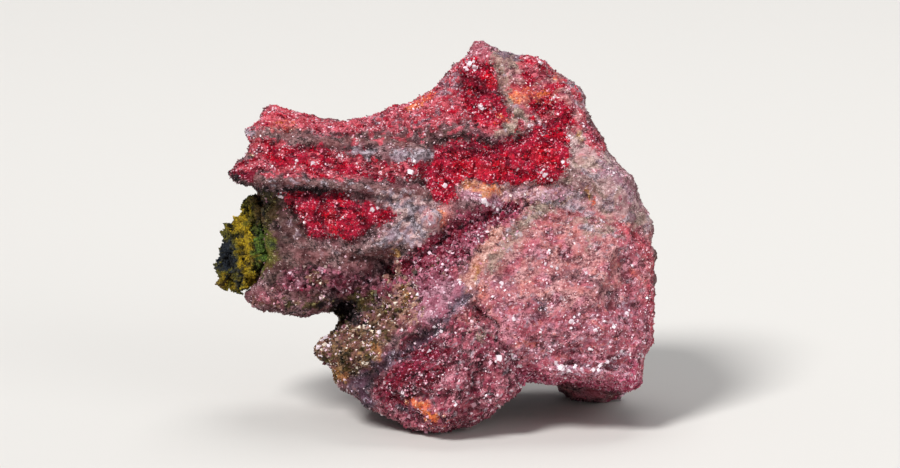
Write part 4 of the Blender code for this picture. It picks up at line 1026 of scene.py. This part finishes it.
def joinedCrystals(name, shape, places, sizes, colours, finish, slot, slim=1.0, jitter=0.0):
    # many copies of one crystal as a single mesh, each with its own colour and bake cell
    corners, faces = crystalShape(shape)
    count = len(places)
    turns = streakedTurns(places, jitter) if jitter else randomTurns(count)
    stretch = dice.uniform(*crystals["stretch"], (count, 3)) * np.array([slim, slim, 1.0])
    turned = np.einsum("nij,nvj->nvi", turns, corners[None] * stretch[:, None])
    vertices = places[:, None, :] + turned * (sizes * mm)[:, None, None]
    vertices[:, :, 2] = np.maximum(vertices[:, :, 2], 0.0)
    allFaces = (faces[None] + (np.arange(count) * len(corners))[:, None, None]).reshape(-1, 3)
    mesh = bpy.data.meshes.new(name)
    mesh.from_pydata(vertices.reshape(-1, 3), [], allFaces)
    tint = mesh.attributes.new("grainColour", "FLOAT_COLOR", "POINT")
    tint.data.foreach_set("color", np.repeat(colours, len(corners), axis=0).astype(np.float32).ravel())
    side = math.ceil(math.sqrt(count))
    cell = np.column_stack([np.arange(count) % side, np.arange(count) // side])
    spot = 0.5 + crystals["bakeReach"] * corners[:, :2] / np.abs(corners).max()
    uv = ((cell[:, None] + spot[None]) / side).reshape(-1, 2)
    mesh.uv_layers.new(name="OFBake").data.foreach_set("uv", uv[allFaces.ravel()].ravel())
    piece = bpy.data.objects.new(name, mesh)
    bpy.context.scene.collection.objects.link(piece)
    mesh.materials.append(grainMaterial(finish))
    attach(piece, "root")
    print(f"{name}: {count} crystals, {len(allFaces)} triangles")
    return piece


class Ground:
    # the skin's triangles, to scatter crystals on
    def __init__(self, piece, weights, front, cavity, drift, tone):
        mesh = piece.data
        mesh.calc_loop_triangles()
        self.triangles = np.empty(len(mesh.loop_triangles) * 3, int)
        mesh.loop_triangles.foreach_get("vertices", self.triangles)
        self.triangles = self.triangles.reshape(-1, 3)
        self.places = readVertices(piece)
        self.normals = readVertices(piece, "normal")
        a, b, c = (self.places[self.triangles[:, i]] for i in range(3))
        self.area = np.linalg.norm(np.cross(b - a, c - a), axis=1) / 2 / mm ** 2
        self.weights, self.front, self.cavity = weights, front, cavity
        self.drift, self.tone = drift, tone

    def scatter(self, perArea):
        # crystal places for a number per square millimetre at each vertex
        wanted = self.area * perArea[self.triangles].mean(axis=1)
        count = int(wanted.sum())
        picked = dice.choice(len(wanted), size=count, p=wanted / wanted.sum())
        share = dice.dirichlet((1, 1, 1), size=count)
        return self.triangles[picked], share

    def at(self, values, corners, share):
        picked = values[corners]
        if picked.ndim == 3:
            return (picked * share[:, :, None]).sum(axis=1)
        return (picked * share).sum(axis=1)

    def column(self, values, corners, share):
        return self.at(values, corners, share)[:, None]

    def colours(self, corners, share, spread, flecks):
        # each crystal's own shade of the colour that it stands on
        count = len(corners)
        sunk = np.clip(self.at(self.cavity, corners, share), 0, 1)
        tone, drift = self.at(self.tone, corners, share), self.column(self.drift, corners, share)
        # painted shade: darker where the ground is sunk
        shade = dice.normal(crystals["middle"], spread, count) + tone - crystals["sunkShade"] * sunk
        shade = np.clip(shade, 0, 1)[:, None]
        # flecks: pale specks, partly the ore's own and partly painted glints
        isFleck = dice.uniform(0, 1, (count, 1)) < flecks
        edge = dice.uniform(*crystals["edge"], (count, 1))
        found = np.zeros((count, 4))
        for name, tones in paints.items():
            weight = self.column(self.weights[name], corners, share)
            weight = smoothStep((weight - edge) * crystals["edgeSharpness"] + 0.5)
            found = blend(found, flecked(shade, drift, isFleck, *tones), weight)
        return found


# Roughness and index of refraction.
finishes = {
    "cuprite_crystals": (0.28, 1.28), "ore_grains": (0.45, 1.34), "pale_crystals": (0.2, 1.5),
    "bloom_powder": (0.8, 1.45), "pale_crystal_faces": (0.25, 1.5),
}
# Crystals by kind: how many stand on a square millimetre of each colour, and elsewhere on
# the face or the back, their size and shape, how far their shades spread, and their finish.
# Without a spread they are pale. A clump keeps them to swells of that size that pass a level.
# Flecks are the share of pale specks among them, partly the ore's own and partly painted glints.
grains = [
    {"name": "red_druse_crystals", "density": {"deepRed": 56.0, "brightRed": 56.0, "maroon": 46.0},
     "size": (0.11, 0.34), "shape": "spike", "spread": 0.36, "flecks": 0.07,
     "finish": "cuprite_crystals", "slot": "red_druse"},
    {"name": "red_druse_needles",
     "density": {"deepRed": 52.0, "brightRed": 52.0, "maroon": 36.0, "raspberry": 10.0},
     "size": (0.2, 0.56), "shape": "shard", "spread": 0.4, "flecks": 0.13,
     "slim": 0.34, "jitter": 0.8, "finish": "cuprite_crystals", "slot": "red_druse"},
    {"name": "red_rim_crystals", "density": {"raspberry": 20.0, "magenta": 18.0},
     "size": (0.14, 0.34), "shape": "spike", "spread": 0.34, "flecks": 0.12,
     "slim": 0.7, "jitter": 0.9, "finish": "cuprite_crystals", "slot": "red_druse"},
    {"name": "valley_crystals",
     "density": {"druseRose": 14.0, "tan": 4.0, "olive": 4.0, "plum": 6.0, "sand": 6.0},
     "size": (0.24, 0.62), "shape": "spike", "spread": 0.38, "flecks": 0.12, "finish": "ore_grains"},
    {"name": "ore_splinters", "density": {"deepRed": 0.0, "brightRed": 0.0, "maroon": 0.0, "druseRose": 20.0},
     "face": 15.0, "size": (0.16, 0.42), "shape": "shard", "spread": 0.42, "flecks": 0.09,
     "slim": 0.4, "jitter": 0.5, "finish": "ore_grains"},
    {"name": "ore_dust", "density": {"deepRed": 0.0, "brightRed": 0.0, "maroon": 0.0},
     "face": 5.0, "back": 6.0, "size": (0.12, 0.34), "shape": "shard", "spread": 0.32, "flecks": 0.06,
     "slim": 0.8, "jitter": 0.8, "finish": "ore_grains"},
    # pale_glitter and pale_needles: pale crystals, partly the ore's own and partly painted glints
    {"name": "pale_glitter", "density": {
        "plum": 1.6, "druseRose": 3.0, "tan": 3.0, "rose": 3.0, "lilac": 4.0, "raspberry": 2.0,
        "deepRed": 0.5, "frost": 9.0},
     "face": 0.5, "back": 0.25, "size": (0.06, 0.3), "shape": "cube", "clump": (1.1, 0.1),
     "finish": "pale_crystals"},
    {"name": "pale_needles", "density": {
        "deepRed": 2.4, "raspberry": 3.0, "rose": 2.4, "druseRose": 2.4, "brightRed": 2.4, "frost": 9.0},
     "face": 0.1, "back": 0.05, "size": (0.16, 0.44), "shape": "shard", "slim": 0.26, "jitter": 0.7,
     "clump": (0.9, 0.0), "finish": "pale_crystals"},
]
# The two ends of the pale ones' colours.
paleColour, pinkColour = colour(248, 230, 238), colour(224, 150, 172)


def densityOf(kind, ground):
    # crystals per square millimetre at each vertex of the ground
    backShare = crystals["backShare"]
    density = ground.front * kind.get("face", 0.0) + (1 - ground.front) * kind.get("back", 0.0)
    for name, number in kind["density"].items():
        weight = ground.weights[name]
        density = density * (1 - weight) + number * weight * (backShare + (1 - backShare) * ground.front)
    if "clump" in kind:
        size, level = kind["clump"]
        swelling = swell(toFace(ground.places), size, crystals["clumpShift"]) - level
        density = density * smoothStep(swelling / crystals["clumpEdge"]) * crystals["clumpGain"]
    return density


def buildGrains(ground):
    pieces = []
    for kind in grains:
        corners, share = ground.scatter(densityOf(kind, ground))
        smallest, largest = kind["size"]
        sizes = dice.uniform(0, 1, len(corners)) ** crystals["smallness"]
        sizes = smallest + (largest - smallest) * sizes
        if "spread" in kind:
            tints = ground.colours(corners, share, kind["spread"], kind["flecks"])
        else:
            tints = blend(paleColour, pinkColour, dice.uniform(0, 1, (len(corners), 1)))
        places, normals = (ground.at(values, corners, share) for values in (ground.places, ground.normals))
        places = places + normals * (sizes * crystals["standing"] * mm)[:, None]
        pieces.append(joinedCrystals(
            kind["name"], kind["shape"], places, sizes, tints, kind["finish"],
            kind.get("slot", "matrix_rock"), kind.get("slim", 1.0), kind.get("jitter", 0.0),
        ))
    return pieces


crust = {
    "voxel": 0.18, "growth": 0.05, "grit": [(2.0, 0.4), (0.8, 0.34)], "sink": 0.35, "tufts": 50.0,
    # how much the tufts darken in hollows: painted shade
    "tuftSize": (0.12, 0.3), "tuftMiddle": 0.5, "tuftSpread": 0.3, "cavityShade": 0.8,
    "warps": [(1.1, 3.0, 6.0, 0.6), (0.5, 13.0, 16.0, 0.9)],
    # the hollow colour and its share: painted shade in the crust's hollows
    "noiseSize": 0.3, "contrast": 3.0, "hollowShadeColour": (10, 10, 4), "hollowShadeShare": 1.2,
    "roughness": 0.85, "bumpDepth": 0.2, "bumpStrength": 0.8,
    # bites out of its outline: across, up, radius, depth
    "bites": [
        (-25.0, 28.2, 2.0, 1.2), (-27.4, 25.4, 1.8, 0.8), (-28.2, 20.6, 1.6, 0.6), (-21.0, 21.0, 1.4, -0.7)],
}
# Its colours, a dark and a light for each, and where they lie.
crustPaints = {
    "moss": [(32, 32, 4), (116, 108, 14)],
    "yellow": [(84, 66, 2), (196, 164, 6)],
    "green": [(28, 46, 10), (96, 124, 38)],
    "brown": [(36, 24, 6), (112, 88, 34)],
    "night": [(4, 8, 14), (28, 38, 50)],
}
crustAreas = [
    ([(-26.8, 21.6), (-25.6, 22.4), (-24.6, 21.8), (-24.4, 20.2), (-25.0, 19.2), (-26.0, 18.8),
        (-27.4, 18.6)], [("night", 0.6, 1.0)]),
]
crustLines = [
    ("yellow", 0.9, 0.9, 1.0, [(-24.6, 24.2), (-23.4, 22.8), (-23.0, 21.0), (-23.4, 19.4)]),
    ("yellow", 0.8, 0.5, 1.0, [(-24.8, 25.0), (-23.8, 25.4)]),
    ("yellow", 0.8, 0.8, 1.0, [(-23.6, 18.6), (-22.8, 17.4), (-22.6, 16.8)]),
    ("yellow", 0.8, 0.5, 1.0, [(-26.0, 17.8), (-25.4, 16.8)]),
    ("green", 0.9, 1.3, 1.0, [(-21.2, 23.6), (-20.8, 19.6)]),
    ("brown", 1.0, 1.5, 1.0, [(-21.4, 27.4), (-21.0, 25.0)]),
    ("brown", 0.8, 0.4, 1.0, [(-25.8, 17.6), (-25.0, 17.2)]),
    ("brown", 0.6, 0.25, 1.0, [(-22.8, 19.9), (-21.2, 19.4), (-20.4, 18.4)]),
    ("night", 0.5, 0.25, 1.0, [(-24.6, 19.8), (-24.2, 18.2), (-24.2, 16.2)]),
]


def crustMaterial():
    graph = Graph("copper_bloom")
    fine = graph.noise(crust["noiseSize"])
    mottle = ((fine - 0.5) * crust["contrast"] + 0.5).held()
    base = None
    for name, (dark, light) in crustPaints.items():
        here = graph.mix(mottle, colour(*dark), colour(*light))
        base = here if base is None else graph.mix(graph.attribute(name), base, here)
    # painted shade in the crust's hollows
    hollow = (graph.attribute("cavity") * crust["hollowShadeShare"]).held()
    base = graph.mix(hollow, base, colour(*crust["hollowShadeColour"]))
    graph.set(Base_Color=base, Roughness=crust["roughness"])
    graph.bump(fine, crust["bumpDepth"], crust["bumpStrength"])
    return graph.material


def buildCrust():
    piece = copyOfNode("green_crust", "green_crust_skin", crust["growth"])
    remeshed(piece, crust["voxel"])
    face = toFace(readVertices(piece))
    grit = chipped(face, crust["grit"]) - crust["sink"]
    takeBites(grit, face, crust["bites"])
    pushOut(piece, grit)
    cavity = hollowness(piece)
    weights = firstOnly(crustPaints, len(face))
    layCoats(weights, face, 1.0, crust["warps"], crustAreas, crustLines)
    storeWeights(piece, {**weights, "cavity": cavity})
    piece.data.materials.append(crustMaterial())
    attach(piece, "root")
    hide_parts("green_crust")
    return piece, weights, cavity


def buildTufts(piece, weights, cavity):
    count = len(piece.data.vertices)
    ground = Ground(piece, weights, np.ones(count), cavity, np.zeros(count), np.zeros(count))
    corners, share = ground.scatter(np.full(count, crust["tufts"]))
    sizes = dice.uniform(*crust["tuftSize"], len(corners))
    shade = np.clip(dice.normal(crust["tuftMiddle"], crust["tuftSpread"], len(corners)), 0, 1)[:, None]
    sunk = np.clip(ground.column(cavity, corners, share), 0, 1)
    tints = np.zeros((len(corners), 4))
    for name, (dark, light) in crustPaints.items():
        here = blend(colour(*dark), colour(*light), shade)
        tints = blend(tints, here, ground.column(weights[name], corners, share))
    # painted shade: tufts darker in hollows
    tints = tints * (1 - crust["cavityShade"] * sunk)
    joinedCrystals(
        "bloom_tufts", "shard", ground.at(ground.places, corners, share), sizes, tints, "bloom_powder",
        "green_crust",
    )


# The larger pale crystals: (across, up, size).
paleCrystals = [
    (-4.4, 29.8, 0.9), (-4.5, 29.0, 0.4), (-0.6, 28.4, 0.6), (-2.6, 29.0, 0.4), (3.5, 37.4, 0.95),
    (2.2, 42.2, 0.9), (2.7, 42.6, 0.5), (1.7, 41.8, 0.6), (2.8, 41.5, 0.5), (7.6, 30.2, 0.5),
    (10.8, 29.6, 0.8), (10.4, 29.9, 0.5), (12.8, 31.0, 0.5), (13.6, 34.0, 0.5), (9.0, 35.2, 0.6),
    (10.3, 42.4, 0.6), (11.8, 38.4, 0.4), (-8.9, 25.6, 0.8), (-8.3, 25.8, 0.5), (-19.3, 27.2, 0.5),
    (-16.5, 24.2, 0.5), (-12.1, 24.8, 0.4), (-20.6, 38.4, 0.5), (-11.7, 35.8, 0.5), (-12.6, 31.8, 0.4),
    (-15.6, 31.0, 0.6), (-17.4, 31.2, 0.5), (3.8, 26.7, 0.9), (4.1, 26.3, 0.7), (4.8, 26.0, 0.7),
    (5.4, 25.7, 0.6), (3.2, 22.3, 0.5), (1.2, 17.4, 0.6), (5.8, 17.3, 0.6), (11.2, 21.0, 0.5),
    (10.8, 19.5, 0.4), (11.5, 19.2, 0.4), (12.1, 19.0, 0.4), (15.4, 18.5, 0.4), (20.7, 19.3, 0.4),
    (13.7, 13.0, 0.7), (14.6, 13.8, 0.4), (18.5, 12.4, 0.7), (16.4, 12.0, 0.5), (22.4, 15.6, 0.4),
    (17.2, 24.4, 0.4), (18.6, 29.8, 0.4), (-1.0, 11.9, 0.6), (-1.8, 12.4, 0.4), (-2.3, 9.7, 0.4),
    (5.5, 8.9, 1.0), (7.9, 8.1, 0.6), (5.2, 11.2, 0.4), (7.2, 13.3, 0.5), (4.8, 15.8, 0.4), (0.6, 3.6, 0.5),
    (4.1, 4.6, 0.6), (5.5, 3.4, 0.5), (8.0, 5.6, 0.6), (-11.7, 5.2, 0.4), (-8.0, 11.8, 0.6),
    (-5.4, 12.0, 0.4), (-5.3, 5.0, 0.5), (12.6, 7.8, 0.9), (13.3, 7.4, 0.7), (12.0, 8.3, 0.6),
    (14.2, 7.9, 0.6), (15.6, 8.0, 0.5), (17.8, 8.4, 0.6), (18.6, 8.9, 0.5), (19.4, 9.6, 0.5),
    (21.9, 9.0, 0.5), (15.8, 9.9, 0.5), (17.4, 13.0, 0.4), (20.1, 13.9, 0.6), (7.1, 9.0, 0.7),
    (10.2, 11.8, 0.4), (17.0, 8.0, 0.9), (16.2, 7.5, 0.5), (14.9, 7.6, 0.5), (20.4, 9.2, 0.5),
    (11.4, 9.6, 0.4), (-15.0, 10.0, 0.6), (-14.2, 11.0, 0.6), (-14.6, 9.0, 0.5), (-13.4, 11.6, 0.5),
    (-13.8, 10.2, 0.5), (-14.0, 8.0, 0.5),
]
# A clump's crystals after its first one: how many, how far they lie and their size, by the first.
cluster = {"crystals": (2, 7), "spread": 0.45, "size": (0.16, 0.55), "proud": 0.15, "first": 0.8,
           "startDepth": -40.0, "colour": (250, 232, 240), "light": (0.7, 1.0)}


def buildPaleCrystals(ground):
    # each entry is one crystal with smaller ones about it
    tree = BVHTree.FromPolygons([Vector(p) for p in ground.places], ground.triangles.tolist())
    inwards = (fromFace(0, 1, 0) - fromFace(0, 0, 0)).normalized()
    places, sizes = [], []
    for across, up, size in paleCrystals:
        smaller = dice.uniform(*cluster["size"], dice.integers(*cluster["crystals"])) * size
        for number, own in enumerate([size * cluster["first"], *smaller]):
            shift = dice.normal(0, cluster["spread"] * size, 2) * (number > 0)
            hit = tree.ray_cast(fromFace(across + shift[0], cluster["startDepth"], up + shift[1]), inwards)[0]
            if hit:
                places.append(hit - inwards * cluster["proud"] * own * mm)
                sizes.append(own)
    tints = np.array(colour(*cluster["colour"])) * dice.uniform(*cluster["light"], (len(places), 1))
    joinedCrystals(
        "pale_crystal_clumps", "cutCube", np.array(places), np.array(sizes), tints, "pale_crystal_faces",
        "matrix_rock",
    )


# The floor is a disc whose rim is rolled up. Lengths in metres, the camera's aim in mm, and
# each lamp with its kind, place, size in metres or angle in degrees, and power.
studio = {
    "distance": 0.71875, "lens": 250.0, "aimAcross": 0.0, "aimUp": 22.885, "nearest": 0.01,
    "floorRadius": 2.0, "floorSides": 96, "rimBend": 0.2, "rimSteps": 8, "floorColour": (214, 211, 206),
    "floorRoughness": 0.7,
    "lamps": {
        "key": ("SUN", (-0.24, -0.3, 0.44), 17.0, 3.3),
        "fill": ("AREA", (0.42, -0.38, 0.25), 0.4, 0.95),
        "top": ("AREA", (0.02, 0.16, 0.5), 0.3, 0.9),
    },
    "room": {"Color": (0.9, 0.93, 1.0, 1.0), "Strength": 0.25},
}


def rollUpRim():
    radius, height = studio["floorRadius"], 0.0
    for step in range(1, studio["rimSteps"] + 1):
        turn = math.pi / 2 * step / studio["rimSteps"]
        wider = studio["floorRadius"] + studio["rimBend"] * math.sin(turn)
        higher = studio["rimBend"] * (1 - math.cos(turn))
        bpy.ops.mesh.extrude_edges_move()
        bpy.ops.transform.resize(value=(wider / radius, wider / radius, 1.0))
        bpy.ops.transform.translate(value=(0.0, 0.0, higher - height))
        radius, height = wider, higher


def placeLamp(name, target, kind, place, size, power):
    lamp = bpy.data.lights.new(name, kind)
    if kind == "SUN":
        lamp.angle = math.radians(size)
    else:
        lamp.size = size
    lamp.energy = power
    light = bpy.data.objects.new(name, lamp)
    light.location = place
    light.rotation_euler = (target - Vector(place)).to_track_quat("-Z", "Y").to_euler()
    bpy.context.scene.collection.objects.link(light)


def buildStage():
    bpy.ops.object.select_all(action="DESELECT")
    bpy.ops.mesh.primitive_circle_add(
        vertices=studio["floorSides"], radius=studio["floorRadius"], fill_type="NGON")
    floor = bpy.context.object
    floor.name = "floor"
    edited(floor, bpy.ops.mesh.region_to_loop, rollUpRim)
    bpy.ops.object.shade_smooth()
    graph = Graph("pale_floor")
    graph.set(Base_Color=colour(*studio["floorColour"]), Roughness=studio["floorRoughness"])
    floor.data.materials.append(graph.material)
    target = fromFace(studio["aimAcross"], 0.0, studio["aimUp"])
    camera = bpy.data.objects.new("camera", bpy.data.cameras.new("camera"))
    camera.location = target + Vector((0.0, -leanCos, leanSin)) * studio["distance"]
    camera.rotation_euler = (math.radians(90 - stance["lean"]), 0.0, 0.0)
    camera.data.lens = studio["lens"]
    camera.data.clip_start = studio["nearest"]
    bpy.context.scene.collection.objects.link(camera)
    bpy.context.scene.camera = camera
    for name, values in studio["lamps"].items():
        placeLamp(name, target, *values)
    world = bpy.data.worlds.new("soft_room")
    world.use_nodes = True
    for name, value in studio["room"].items():
        world.node_tree.nodes["Background"].inputs[name].default_value = value
    bpy.context.scene.world = world
    bpy.context.scene.view_settings.view_transform = "Standard"


rockSkin = buildSkin()
print("rock skin:", len(rockSkin.data.polygons), "faces")
skinWeights, skinFront = paintWeights(rockSkin)
skinCavity = hollowness(rockSkin)
skinDrift, skinTone = skinFields(rockSkin)
storeWeights(rockSkin, {**skinWeights, "cavity": skinCavity, "drift": skinDrift, "tone": skinTone})
rockSkin.data.materials.append(skinMaterial())
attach(rockSkin, "root")
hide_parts("matrix_rock")
skinGround = Ground(rockSkin, skinWeights, skinFront, skinCavity, skinDrift, skinTone)
print("skin area in square mm:", round(skinGround.area.sum()))
grainPieces = buildGrains(skinGround)
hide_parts("upper_red_druse", "left_red_druse")
buildPaleCrystals(skinGround)
crustSkin, crustWeights, crustCavity = buildCrust()
buildTufts(crustSkin, crustWeights, crustCavity)
print("crust built")
buildStage()
print("stage built")
